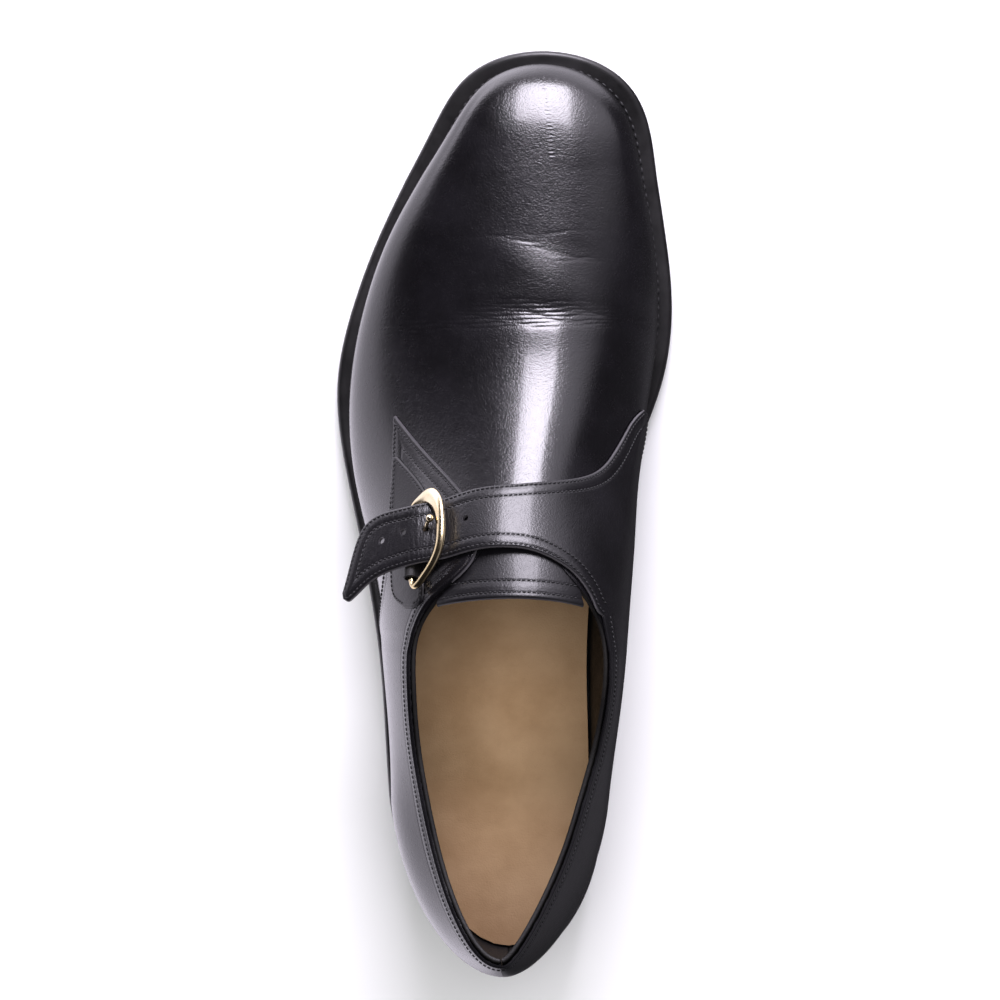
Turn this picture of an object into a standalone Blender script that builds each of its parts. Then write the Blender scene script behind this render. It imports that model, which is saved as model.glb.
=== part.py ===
"""Left monk-strap dress shoe, standing empty on its sole.

Sizes in the tables are millimetres. +Y runs to the toe, +X to the medial side and +Z up, and the
origin is at the middle of the ground under the shoe. The upper, the quarters, the strap and the
tongue are all read from one last surface, at different heights above it.
"""
import math

import bmesh
import bpy
import numpy as np

for leftover in list(bpy.data.objects):
    bpy.data.objects.remove(leftover, do_unlink=True)

MM = 0.001
GAP = 0.3               # clearance between pieces that lie on each other
OUTSOLE_THICK = 5.0
WELT_THICK = 3.0
FOOTBED_THICK = 2.4     # of the insole, above the welt
WALL = 1.8              # upper with its lining
LEATHER = 1.4           # quarters and strap
TAB_LEATHER = 1.2
TONGUE_THICK = 2.0
HEEL_LIFT = 23.0        # ground to the sole at the heel seat
TOE_SPRING = 9.0        # ground to the sole at the toe tip
BALL_FRONT = 80.0       # the sole lies flat on the ground from here
BALL_REAR = 35.0        # to here
WAIST_REAR = -62.0      # the waist has climbed to the heel seat here
TOE_TIP = 151.0
HEEL_BREAST = -76.0
HEEL_TAPER = 0.95       # ground face of the heel over its seat
HEEL_CAP = -95.0        # behind this station the sections close round the heel
TOE_CAP = 110.0         # in front of this one they close round the toe
HEEL_DEPTH = 55.0
TOE_DEPTH = 35.0
HEEL_BACK_X = 2.5
TOE_TIP_X = 12.7
THROAT = -3.0           # front end of the throat opening, under the strap
VAMP_SPLIT = 0.42       # place across the vamp where the throat's edges would run on to the toe
FOOT_RISE = OUTSOLE_THICK + WELT_THICK + 2 * GAP
FOOT_EDGE = 0.02        # places this near the foot are held down to the welt
END_PLACE = 0.47        # at the heel and toe ends, normals are read no nearer the ridge than this
INSOLE_ROOM = 0.4       # between the insole and the upper's wall
QUARTER_TURN = -45.0    # behind this station the quarters reach down to the welt
TONGUE_SPAN = (-29.5, 8.0)
TONGUE_LATERAL = (0.345, 0.40)      # places of the tongue's sides at both ends of its span
TONGUE_MEDIAL = (0.685, 0.60)
SHORT_STEP = 2.0        # least distance between two stations
SIDE_PARTS = 11         # points across each side of the upper and across the quarters
VAMP_PARTS = 6          # points across the top of the vamp, an even number so none is on the ridge
LATERAL_ROWS = 18       # rows that the tables below are smoothed to
ROOT_ROWS = 12
STRAP_STEPS = 19
TAIL_STEPS = 12
TAB_ROWS = 13

# One row for each cross-section of the last, from the heel to the toe. Widths are x, heights z.
SECTION_COLUMNS = (
    "y", "sole_lat", "foot_lat", "bulge_lat", "bulge_lat_z", "shoulder_lat", "shoulder_lat_z",
    "ridge", "ridge_z", "shoulder_med", "shoulder_med_z", "bulge_med", "bulge_med_z", "foot_med",
    "sole_med")
SECTIONS = np.array((
    (-95, -37.0, -32.4, -33.4, 50, -21.8, 77.5, 4.5, 114, 27.0, 80, 34.1, 50, 30.8, 33.4),
    (-80, -38.0, -33.2, -33.9, 48, -24.3, 77, 5, 113, 31.3, 79.5, 35.4, 52, 30.8, 33.2),
    (-50, -40.2, -35.6, -36.4, 46, -26.6, 81, 6, 108, 36.0, 86, 37.8, 55, 30.2, 33.0),
    (-30, -43.5, -39.0, -39.2, 38, -29.5, 72, 7, 100, 35.5, 83, 39.6, 48, 31.0, 33.8),
    (-10, -47.8, -43.5, -44.0, 30, -30.0, 66, 8.5, 89.5, 35.5, 73, 41.5, 42, 33.0, 36.0),
    (10, -52.5, -48.0, -48.8, 25, -31.0, 57.5, 10, 77, 35.5, 60.5, 43.6, 36, 37.5, 41.0),
    (40, -56.1, -49.8, -50.5, 21, -34.0, 44.5, 12.5, 61, 40.5, 45.5, 49.0, 23, 47.0, 52.2),
    (70, -49.8, -44.0, -44.7, 21, -27.5, 40, 14, 51.5, 42.5, 39.5, 51.3, 22, 50.6, 55.8),
    (90, -42.2, -36.6, -37.2, 22, -22.0, 39.2, 15, 47, 42.0, 38.2, 49.5, 22.5, 48.8, 53.8),
    (110, -32.5, -25.6, -26.1, 23.5, -14.5, 38.0, 14.5, 43, 38.0, 37.2, 45.8, 23.5, 45.2, 50.8)))

# Where each level of the sections ends at the back of the heel and at the tip of the toe, and how
# full its end is in plan: 2 is an ellipse, more is squarer.
CAP_COLUMNS = ("heel_y", "heel_z", "heel_full", "toe_y", "toe_z", "toe_full_lat", "toe_full_med")
CAPS = {
    "sole": (-149.5, 0, 1.9, TOE_TIP, 0, 7.0, 4.0),
    "foot": (-146.0, 0, 1.8, 144.0, 0, 7.5, 3.6),
    "bulge": (-149.2, 50, 1.75, 144.5, 24, 7.5, 3.6),
    "shoulder": (-143.2, 89.5, 2.6, 137.0, 35, 6.0, 3.4),
    "ridge": (-128.0, 116, 2.0, 120.0, 41, 2.0, 2.0)}

# The sections' levels in order across the shoe, with their place along the curve of the section.
LEVELS = ("foot_lat", "bulge_lat", "shoulder_lat", "ridge", "shoulder_med", "bulge_med", "foot_med")
LEVEL_PLACES = np.array((0.0, 0.08, 0.25, 0.5, 0.75, 0.92, 1.0))

# Edge of the collar and throat: place along the section's curve on each side, by station.
COLLAR_COLUMNS = ("y", "lateral", "medial")
COLLAR = np.array((
    (-150, 0.250, 0.750),
    (-80, 0.250, 0.750),
    (-55, 0.250, 0.750),
    (-42, 0.275, 0.742),
    (-31, 0.335, 0.705),
    (-21, 0.400, 0.635),
    (-13, 0.435, 0.580),
    (THROAT, 0.450, 0.560)))

# Lateral quarter in front of the heel: its lower seam, by height, and its upper edge, in plan.
# Columns: seam_y, seam_z, edge_y, edge_x.
LATERAL_FRONT = np.array((
    (-41, 31.0, -40.0, -23.0),
    (-33, 39.5, -30.0, -19.2),
    (-24, 43.0, -21.4, -9.4),
    (-12, 44.5, -13.0, -4.6),
    (0, 45.0, -4.0, -5.8),
    (10, 44.3, 5.0, -10.8),
    (20, 43.6, 17.0, -22.4),
    (28.3, 44.0, 29.0, -33.6)))

# Medial quarter in front of the heel: lower seam by height, upper edge in plan. The strap grows
# from the upper edge. Columns: seam_y, seam_z, edge_y, edge_x.
MEDIAL_FRONT = np.array((
    (-41, 27.0, -34.5, 33.8),
    (-33, 31.5, -27.0, 35.2),
    (-23, 34.0, -18.0, 36.8),
    (-12, 34.5, -9.0, 38.5),
    (0, 34.0, 1.0, 40.4),
    (10, 33.0, 11.0, 42.2),
    (20, 32.5, 21.0, 44.1),
    (30.5, 33.0, 31.5, 46.0)))

# The strap from its root to its tail: rear and front edge in plan, and its lift over the last.
# Columns: rear_x, rear_y, front_x, front_y, lift.
STRAP = np.array((
    (33.8, -34.5, 46.0, 31.5, 0.3),
    (31.5, -28.5, 40.8, 22.5, 0.3),
    (26.3, -21.0, 35.5, 14.0, 0.3),
    (18.6, -15.7, 28.0, 9.2, 0.3),
    (11.2, -13.0, 16.0, 8.0, 0.8),
    (3.6, -12.3, 5.0, 7.3, 1.7),
    (-5.0, -13.1, -5.0, 6.2, 2.1),
    (-15.4, -16.0, -15.6, 3.0, 2.1)))

# The free tail behind the buckle, in plan. Columns: rear_x, rear_y, front_x, front_y.
TAIL = np.array((
    (-24.5, -17.8, -25.0, 0.9),
    (-32.2, -20.0, -31.5, -0.6),
    (-38.6, -23.2, -38.6, -3.1),
    (-43.4, -27.6, -43.6, -8.6),
    (-47.0, -30.1, -47.2, -20.3),
    (-48.3, -29.9, -48.8, -28.0)))
TAIL_DROP = 0.45        # fall of the tail for each millimetre outwards
TAIL_CURL = 0.006       # and for each square of that
TAIL_LEAN = 0.40        # fall for each millimetre forwards
BAR_LIFT = 8.7          # underside of the strap over the last, where it crosses the bar

# Outline of the buckle tab on the lateral quarter: lower and upper edge, by station, in plan.
# Columns: y, outer_x, inner_x.
TAB = np.array((
    (-32.5, -27.0, -24.5),
    (-30.5, -30.0, -21.5),
    (-26, -31.8, -20.8),
    (-14, -32.4, -20.8),
    (0, -32.6, -20.8),
    (10, -32.7, -21.5),
    (17, -32.7, -26.5),
    (19, -32.3, -30.5)))

# Middle line of the buckle's D-shaped frame in plan, with its straight bar at the lateral side.
BAR_X = -26.2
BAR_BLEND = (-23.5, -26.0)      # between these the frame's thickness turns into the bar's
BUCKLE_LOOP = np.array((
    (-24.3, 3.9), (-21.2, 5.2), (-18.5, 3.5), (-17.2, -2.0), (-16.9, -7.0), (-17.3, -12.5),
    (-19.0, -17.8), (-21.8, -21.8), (-24.9, -23.9), (BAR_X, -21.5), (BAR_X, -16.0), (BAR_X, -10.5),
    (BAR_X, -5.0), (BAR_X, 0.6)))
BUCKLE_RADIUS = 1.35
BAR_RADIUS = 1.0
ARC_MIDDLE = (-16.9, -8.0)
ARC_LIFT = 6.2          # middle of the frame over the last, where it crosses the strap
BAR_ENDS = ((BAR_X, -2.0), (BAR_X, -21.0))
BAR_SEAT = 4.6          # middle of the bar over the last
KEEPER_LEATHER = 0.9
KEEPER_SPANS = {"front": (-8.5, -3.5), "rear": (-21.5, -16.5)}
KEEPER_SWEEP = (-30.0, 210.0)
PRONG_RADIUS = 0.7
PRONG_BALL = 0.95
PRONG_ROOT_Y = -13.0
PRONG_TIP = (-17.9, -3.4)
PRONG_HOOK = (165.0, 70.0)
HOLE_ROOM = 0.4         # of the strap's hole round the prong

BLACK_LEATHER = ((0.012, 0.011, 0.013, 1), 0.32, 0.0)
BLACK_EDGE = ((0.014, 0.013, 0.014, 1), 0.45, 0.0)
TAN_LEATHER = ((0.42, 0.25, 0.13, 1), 0.6, 0.0)
PALE_GOLD = ((0.86, 0.68, 0.36, 1), 0.15, 1.0)


def spline(knots, values):
    """Natural cubic spline through rows of values, as a function of an array of positions."""
    knots = np.asarray(knots, float)
    values = np.asarray(values, float)
    bend = spline_bends(knots) @ values
    steps = np.diff(knots)

    def read(places):
        places = np.atleast_1d(np.asarray(places, float))
        left = np.clip(np.searchsorted(knots, places) - 1, 0, len(steps) - 1)
        step = steps[left][:, None]
        after = places[:, None] - knots[left][:, None]
        before = step - after
        curve = (bend[left] * before ** 3 + bend[left + 1] * after ** 3) / (6 * step)
        line_left = (values[left] / step - bend[left] * step / 6) * before
        line_right = (values[left + 1] / step - bend[left + 1] * step / 6) * after
        return curve + line_left + line_right

    return read


def spline_bends(knots):
    """Matrix that gives a natural spline's second derivatives from its values."""
    count = len(knots)
    steps = np.diff(knots)
    system = np.eye(count)
    right = np.zeros((count, count))
    for i in range(1, count - 1):
        system[i, i - 1:i + 2] = steps[i - 1], 2 * (steps[i - 1] + steps[i]), steps[i]
        right[i, i - 1] = 6 / steps[i - 1]
        right[i, i] = -6 / steps[i - 1] - 6 / steps[i]
        right[i, i + 1] = 6 / steps[i]
    return np.linalg.solve(system, right)


SECTION_AT = spline(SECTIONS[:, 0], SECTIONS)
COLLAR_AT = spline(COLLAR[:, 0], COLLAR)
ACROSS_BENDS = spline_bends(LEVEL_PLACES)
ACROSS_STEPS = np.diff(LEVEL_PLACES)
HEEL_END = HEEL_CAP - HEEL_DEPTH
TOE_END = TOE_CAP + TOE_DEPTH


def column(rows, columns, name):
    return rows[:, columns.index(name)]


def smooth_step(t):
    t = np.clip(t, 0, 1)
    return t * t * (3 - 2 * t)


def sole_bottom(y):
    """Height of the sole's underside: toe spring, flat ball, waist and heel seat."""
    toe = TOE_SPRING * np.clip((y - BALL_FRONT) / (TOE_TIP - BALL_FRONT), 0, 2) ** 2
    waist = HEEL_LIFT * smooth_step((BALL_REAR - y) / (BALL_REAR - WAIST_REAR))
    return toe + waist


def level(stations, name):
    """Points of one level of the last at the given stations, caps included."""
    stations = np.atleast_1d(np.asarray(stations, float))
    body = np.clip(stations, HEEL_CAP, TOE_CAP)
    row = SECTION_AT(body)
    slope = SECTION_AT(body + 0.5) - SECTION_AT(body - 0.5)
    kind, side = name.split("_") if "_" in name else (name, "lat")
    cap = dict(zip(CAP_COLUMNS, CAPS[kind]))
    at_toe = stations > TOE_CAP
    at_heel = stations < HEEL_CAP
    heel_turn = np.clip((HEEL_CAP - stations) / HEEL_DEPTH, 0, 1)
    toe_turn = np.clip((stations - TOE_CAP) / TOE_DEPTH, 0, 1)
    turn = np.where(at_toe, toe_turn, heel_turn)
    reach = np.where(at_toe, cap["toe_y"] - TOE_CAP, np.where(at_heel, cap["heel_y"] - HEEL_CAP, 0))
    full = np.where(at_toe, cap["toe_full_" + side], cap["heel_full"])
    end_x = np.where(at_toe, TOE_TIP_X, HEEL_BACK_X)
    y = body + reach * turn
    ridge = column(row, SECTION_COLUMNS, "ridge")
    middle = ridge + (end_x - ridge) * turn ** 2
    half = column(row, SECTION_COLUMNS, name) - ridge
    taper = column(slope, SECTION_COLUMNS, name) - column(slope, SECTION_COLUMNS, "ridge")
    x = middle + (half + taper * reach * turn) * np.sqrt(1 - turn ** full)
    if kind == "sole":
        z = sole_bottom(y)
    elif kind == "foot":
        z = sole_bottom(y) + FOOT_RISE
    else:
        height = column(row, SECTION_COLUMNS, name + "_z")
        climb = column(slope, SECTION_COLUMNS, name + "_z") * reach
        end_z = np.where(at_toe, cap["toe_z"], cap["heel_z"])
        z = height + climb * turn + np.where(reach == 0, 0, end_z - height - climb) * turn ** 2
    return np.stack((x, y, z), axis=1)


def last_point(stations, places):
    """Points of the last: station along the shoe, place across it from 0 lateral to 1 medial."""
    knots = np.stack([level(stations, name) for name in LEVELS], axis=1)
    bends = np.einsum("ij,njk->nik", ACROSS_BENDS, knots)
    places = np.asarray(places, float)
    left = np.clip(np.searchsorted(LEVEL_PLACES, places) - 1, 0, len(ACROSS_STEPS) - 1)
    pick = np.arange(len(places))
    step = ACROSS_STEPS[left][:, None]
    after = places[:, None] - LEVEL_PLACES[left][:, None]
    before = step - after
    bend_left = bends[pick, left]
    bend_right = bends[pick, left + 1]
    curve = (bend_left * before ** 3 + bend_right * after ** 3) / (6 * step)
    line_left = (knots[pick, left] / step - bend_left * step / 6) * before
    line_right = (knots[pick, left + 1] / step - bend_right * step / 6) * after
    return curve + line_left + line_right


def last_normal(stations, places):
    """Outward unit normals of the last, by small differences."""
    small_g = 0.05
    small_v = 0.001
    ahead = last_point(np.minimum(stations + small_g, TOE_END), places)
    behind = last_point(np.maximum(stations - small_g, HEEL_END), places)
    up = last_point(stations, np.minimum(places + small_v, 1))
    down = last_point(stations, np.maximum(places - small_v, 0))
    normal = np.cross(up - down, ahead - behind)
    return normal / np.linalg.norm(normal, axis=1, keepdims=True)


def skin(stations, places, lift):
    """A grid of points at a height above the last. Its foot edge stays level with the welt."""
    stations, places = np.broadcast_arrays(np.asarray(stations, float), np.asarray(places, float))
    flat_g = stations.ravel()
    at_end = (flat_g < HEEL_END + 1e-6) | (flat_g > TOE_END - 1e-6)
    flat_v = np.where(at_end, np.minimum(places.ravel(), 1 - places.ravel()), places.ravel())
    base = last_point(flat_g, flat_v)
    facing = last_normal(flat_g, np.where(at_end, np.minimum(flat_v, END_PLACE), flat_v))
    points = base + facing * np.broadcast_to(lift, stations.shape).ravel()[:, None]
    low = (flat_v < FOOT_EDGE) | (flat_v > 1 - FOOT_EDGE)
    points[low, 2] = np.maximum(points[low, 2], sole_bottom(base[low, 1]) + FOOT_RISE)
    return points.reshape(stations.shape + (3,))


SIDE_PLACES = {"lateral": np.linspace(0.0, 0.5, 401), "medial": np.linspace(1.0, 0.5, 401)}


def place_at_height(y, z, side):
    """Place across the last where it reaches a height, at one station."""
    places = SIDE_PLACES[side]
    heights = last_point(np.full(len(places), y), places)[:, 2]
    return float(np.interp(z, np.maximum.accumulate(heights), places))


def place_at_width(y, x):
    """Place across the top of the last at a plan width, at one station."""
    places = np.linspace(0.08, 0.92, 801)
    widths = last_point(np.full(len(places), y), places)[:, 0]
    return float(np.interp(x, np.maximum.accumulate(widths), places))


def even_turns(count):
    """Stations round a cap, closer together towards its end."""
    return np.sin(np.linspace(0, math.pi / 2, count + 1))


def node(name, points, faces, finish):
    """One named object from points in millimetres."""
    mesh = bpy.data.meshes.new(name)
    bm = bmesh.new()
    corners = [bm.verts.new(tuple(float(c) * MM for c in point)) for point in points]
    for face in faces:
        ring = [corners[i] for i in dict.fromkeys(face)]
        if len(ring) > 2:
            bm.faces.new(ring)
    bmesh.ops.remove_doubles(bm, verts=bm.verts[:], dist=1e-6)
    bmesh.ops.dissolve_degenerate(bm, dist=1e-6, edges=bm.edges[:])
    bmesh.ops.triangulate(bm, faces=[f for f in bm.faces if len(f.verts) > 3])
    bmesh.ops.recalc_face_normals(bm, faces=bm.faces[:])
    bm.to_mesh(mesh)
    bm.free()
    mesh.shade_smooth()
    mesh.set_sharp_from_angle(angle=math.radians(35))
    colour, rough, metal = finish
    material = bpy.data.materials.new(name + "_finish")
    material.use_nodes = True
    shader = material.node_tree.nodes["Principled BSDF"]
    shader.inputs["Base Color"].default_value = colour
    shader.inputs["Roughness"].default_value = rough
    shader.inputs["Metallic"].default_value = metal
    mesh.materials.append(material)
    made = bpy.data.objects.new(name, mesh)
    bpy.context.scene.collection.objects.link(made)
    return made


class Sheet:
    """A surface of quads with an outer and an inner point at each corner, closed into a wall."""

    def __init__(self):
        self.outer = []
        self.inner = []
        self.faces = []
        self.known = {}

    def corner(self, outer, inner):
        key = tuple(np.round(outer, 3))
        if key not in self.known:
            self.known[key] = len(self.outer)
            self.outer.append(outer)
            self.inner.append(inner)
        return self.known[key]

    def add(self, outer, inner):
        """Adds a grid of points, joined to what is there where its points are the same."""
        index = np.array([[self.corner(o, i) for o, i in zip(*row)] for row in zip(outer, inner)])
        for r in range(index.shape[0] - 1):
            for c in range(index.shape[1] - 1):
                ring = (index[r, c], index[r + 1, c], index[r + 1, c + 1], index[r, c + 1])
                if len(set(ring)) > 2:
                    self.faces.append(ring)

    def close(self, name, finish):
        """Makes the node: outer side, inner side and the edge between them."""
        shift = len(self.outer)
        edges = {}
        for face in self.faces:
            ring = tuple(dict.fromkeys(face))
            for a, b in zip(ring, ring[1:] + ring[:1]):
                if (b, a) in edges:
                    del edges[(b, a)]
                else:
                    edges[(a, b)] = True
        back = [tuple(i + shift for i in reversed(face)) for face in self.faces]
        rim = [(b, a, a + shift, b + shift) for a, b in edges]
        return node(name, self.outer + self.inner, self.faces + back + rim, finish)


def ring_solid(name, rings, finish, closed):
    """A solid swept through rings of the same number of points."""
    rings = np.asarray(rings, float)
    count, size = rings.shape[:2]
    points = rings.reshape(-1, 3)
    faces = []
    for r in range(count if closed else count - 1):
        after = (r + 1) % count
        for c in range(size):
            step = (c + 1) % size
            faces.append((r * size + c, r * size + step, after * size + step, after * size + c))
    if not closed:
        faces.append(tuple(range(size)))
        faces.append(tuple((count - 1) * size + c for c in reversed(range(size))))
    return node(name, points, faces, finish)


# Stations of the grids along the whole shoe.
HEEL_STATIONS = HEEL_CAP - HEEL_DEPTH * even_turns(9)[::-1]
TOE_STATIONS = TOE_CAP + TOE_DEPTH * even_turns(9)
REAR_STATIONS = np.linspace(HEEL_CAP, -41, 10)
INSTEP_STATIONS = np.linspace(-41, THROAT, 7)
VAMP_STATIONS = np.linspace(THROAT, TOE_CAP, 15)
ALL_STATIONS = np.unique(np.round(np.concatenate(
    (HEEL_STATIONS, REAR_STATIONS, INSTEP_STATIONS, VAMP_STATIONS, TOE_STATIONS)), 6))


def outline(kind):
    """Closed plan outline of a level, round from the heel by the lateral side to the toe."""
    lateral = level(ALL_STATIONS, kind + "_lat")
    medial = level(ALL_STATIONS, kind + "_med")
    return np.concatenate((lateral, medial[-2:0:-1]))


def inset(loop, distance):
    """A closed plan outline moved inwards."""
    along = np.roll(loop, -1, axis=0) - np.roll(loop, 1, axis=0)
    inward = np.stack((along[:, 1], -along[:, 0]), axis=1)
    inward /= np.linalg.norm(inward, axis=1, keepdims=True)
    moved = loop.copy()
    moved[:, :2] += inward * distance
    return moved


def at_height(loop, height):
    """An outline laid on the sole's curve, raised by a height."""
    laid = loop.copy()
    laid[:, 2] = sole_bottom(loop[:, 1]) + height
    return laid


def plate(name, loop, low, high, finish):
    """A solid between two heights over the sole's underside, with the sole's bend."""
    half = len(ALL_STATIONS)
    lateral = loop[:half]
    medial = np.concatenate((loop[:1], loop[half:][::-1], loop[half - 1:half]))
    rings = np.stack((at_height(lateral, low), at_height(lateral, high),
                      at_height(medial, high), at_height(medial, low)), axis=1)
    return ring_solid(name, rings, finish, closed=False)


def make_sole():
    edge = outline("sole")
    wall = inset(outline("foot"), WALL)
    plate("outsole", edge, 0, OUTSOLE_THICK, BLACK_EDGE)
    low = OUTSOLE_THICK + GAP
    high = low + WELT_THICK
    rings = np.stack((at_height(edge, low), at_height(edge, high),
                      at_height(wall, high), at_height(wall, low)), axis=1)
    ring_solid("welt", rings, BLACK_EDGE, closed=True)
    plate("insole", inset(wall, INSOLE_ROOM), low, FOOT_RISE + FOOTBED_THICK, TAN_LEATHER)


def make_heel():
    """The heel block: seat under the sole, ground face a little smaller."""
    stations = np.append(ALL_STATIONS[ALL_STATIONS < HEEL_BREAST - SHORT_STEP], HEEL_BREAST)
    lateral = level(stations, "sole_lat")
    medial = level(stations, "sole_med")
    middle = (lateral[-1] + medial[-1]) / 2
    rings = []
    for left, right in zip(lateral, medial):
        ring = []
        for point, is_top in ((left, False), (left, True), (right, True), (right, False)):
            spot = point.copy()
            spot[2] = sole_bottom(point[1]) - GAP if is_top else 0.0
            if not is_top:
                spot[:2] = middle[:2] + (point[:2] - middle[:2]) * HEEL_TAPER
            ring.append(spot)
        rings.append(ring)
    ring_solid("heel", rings, BLACK_EDGE, closed=False)


def make_upper():
    """The hollow upper: two side walls to the collar, and the vamp in front of the throat."""
    sheet = Sheet()
    side = np.linspace(0, 1, SIDE_PARTS)
    middle = np.linspace(0, 1, VAMP_PARTS)
    rear = np.concatenate((HEEL_STATIONS[:-1], REAR_STATIONS[:-1], INSTEP_STATIONS))
    front = np.concatenate((VAMP_STATIONS[:-1], TOE_STATIONS))

    def band(stations, start, end, parts):
        g = np.repeat(stations[:, None], len(parts), axis=1)
        v = start[:, None] + (end - start)[:, None] * parts[None, :]
        sheet.add(skin(g, v, 0.0), skin(g, v, -WALL))

    for stations in (rear, front):
        collar = COLLAR_AT(np.minimum(stations, THROAT))
        onward = smooth_step((stations - THROAT) / (TOE_CAP - THROAT))
        lateral = column(collar, COLLAR_COLUMNS, "lateral")
        lateral = lateral + (VAMP_SPLIT - lateral) * onward
        medial = column(collar, COLLAR_COLUMNS, "medial")
        medial = medial + (1 - VAMP_SPLIT - medial) * onward
        band(stations, np.zeros(len(stations)), lateral, side)
        if stations is front:
            band(stations, lateral, medial, middle)
        band(stations, medial, np.ones(len(stations)), 1 - side[::-1])
    sheet.close("upper", BLACK_LEATHER)


def make_tongue():
    """A plate under the throat, from under the vamp to its free rear edge."""
    stations = np.linspace(*TONGUE_SPAN, 9)
    parts = np.linspace(0, 1, 9)
    start = np.interp(stations, TONGUE_SPAN, TONGUE_LATERAL)
    end = np.interp(stations, TONGUE_SPAN, TONGUE_MEDIAL)
    g = np.repeat(stations[:, None], len(parts), axis=1)
    v = start[:, None] + (end - start)[:, None] * parts[None, :]
    top = -WALL - GAP
    sheet = Sheet()
    sheet.add(skin(g, v, top), skin(g, v, top - TONGUE_THICK))
    sheet.close("tongue", BLACK_LEATHER)


def quarter_lines(front_rows, side):
    """Lower and upper edge of a quarter as stations and places, from the heel to its front tip."""
    rear = np.concatenate((HEEL_STATIONS[:-1], REAR_STATIONS[:-1]))
    rear = rear[rear < QUARTER_TURN]
    foot = 0.0 if side == "lateral" else 1.0
    lines = [(g, foot, g, column(COLLAR_AT(g), COLLAR_COLUMNS, side)[0]) for g in rear]
    for seam_y, seam_z, edge_y, edge_x in front_rows:
        seam = place_at_height(seam_y, seam_z, side)
        lines.append((seam_y, seam, edge_y, place_at_width(edge_y, edge_x)))
    return np.array(lines)


def quarter_grid(lines, parts, lift):
    g = lines[:, 0][:, None] + (lines[:, 2] - lines[:, 0])[:, None] * parts[None, :]
    v = lines[:, 1][:, None] + (lines[:, 3] - lines[:, 1])[:, None] * parts[None, :]
    return skin(g, v, lift + LEATHER), skin(g, v, lift)


def finer(rows, count):
    """A table read through a smooth curve at more rows."""
    places = np.arange(len(rows))
    return spline(places, rows)(np.linspace(0, len(rows) - 1, count))


QUARTER_PARTS = np.linspace(0, 1, SIDE_PARTS)


def make_lateral_quarter():
    sheet = Sheet()
    lines = quarter_lines(finer(LATERAL_FRONT, LATERAL_ROWS), "lateral")
    sheet.add(*quarter_grid(lines, QUARTER_PARTS, GAP))
    sheet.close("lateral_quarter", BLACK_LEATHER)


def last_at_plan(x, y):
    """Point and normal of the last over plan positions on its top."""
    places = np.array([place_at_width(b, a) for a, b in zip(x, y)])
    return last_point(np.asarray(y), places), last_normal(np.asarray(y), places)


def strap_rows(across):
    """The strap's underside and its up direction, row by row from its root to the tip of its tail."""
    along = finer(STRAP, STRAP_STEPS)
    under = []
    up = []
    for rear_x, rear_y, front_x, front_y, lift in along:
        x = rear_x + (front_x - rear_x) * across
        y = rear_y + (front_y - rear_y) * across
        point, normal = last_at_plan(x, y)
        under.append(point + normal * lift)
        up.append(normal)
    bar_x = TAIL[0, 0] + (TAIL[0, 2] - TAIL[0, 0]) * across
    bar_y = TAIL[0, 1] + (TAIL[0, 3] - TAIL[0, 1]) * across
    bar_point, bar_up = last_at_plan(bar_x, bar_y)
    bar_point = bar_point + bar_up * BAR_LIFT
    tail_up = np.array((-TAIL_DROP, TAIL_LEAN, 1.0))
    tail_up /= np.linalg.norm(tail_up)
    for rear_x, rear_y, front_x, front_y in finer(TAIL, TAIL_STEPS):
        x = rear_x + (front_x - rear_x) * across
        y = rear_y + (front_y - rear_y) * across
        out = bar_point[:, 0] - x
        z = bar_point[:, 2] - TAIL_DROP * out - TAIL_CURL * out ** 2
        z -= TAIL_LEAN * (y - bar_point[:, 1])
        under.append(np.stack((x, y, z), axis=1))
        up.append(np.tile(tail_up, (len(across), 1)))
    return np.array(under), np.array(up)


def make_medial_quarter():
    """The medial quarter, with the strap growing from its upper edge over the instep."""
    sheet = Sheet()
    front = finer(MEDIAL_FRONT, ROOT_ROWS)
    lines = quarter_lines(front, "medial")
    outer, inner = quarter_grid(lines, QUARTER_PARTS, GAP)
    root = len(lines) - len(front)
    under, up = strap_rows(np.linspace(0, 1, len(front)))
    under[0] = inner[root:, -1]
    over = under + up * LEATHER
    over[0] = outer[root:, -1]
    sheet.add(outer[:, ::-1], inner[:, ::-1])
    sheet.add(over, under)
    return sheet.close("medial_quarter_strap", BLACK_LEATHER)


def make_tab():
    """The buckle's tab, lying on the lateral quarter."""
    rows = finer(TAB, TAB_ROWS)
    parts = np.linspace(0, 1, 6)
    base = GAP + LEATHER + GAP
    y = np.repeat(rows[:, :1], len(parts), axis=1)
    x = rows[:, 1:2] + (rows[:, 2:3] - rows[:, 1:2]) * parts[None, :]
    v = np.array([[place_at_width(b, a) for a, b in zip(*row)] for row in zip(x, y)])
    sheet = Sheet()
    sheet.add(skin(y, v, base + TAB_LEATHER), skin(y, v, base))
    sheet.close("buckle_tab", BLACK_LEATHER)


def buckle_plane():
    """The tilted plane of the buckle: a height function over the plan, and its unit normal."""
    corners = []
    for (x, y), lift in ((ARC_MIDDLE, ARC_LIFT), (BAR_ENDS[0], BAR_SEAT), (BAR_ENDS[1], BAR_SEAT)):
        point, normal = last_at_plan([x], [y])
        corners.append((x, y, point[0, 2] + lift / normal[0, 2]))
    corners = np.array(corners)
    normal = np.cross(corners[1] - corners[0], corners[2] - corners[0])
    normal /= np.linalg.norm(normal) * np.sign(normal[2])

    def lay(plan):
        plan = np.asarray(plan, float)
        z = corners[0, 2] - ((plan - corners[0, :2]) @ normal[:2]) / normal[2]
        return np.column_stack((plan, z))

    return lay, normal


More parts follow.
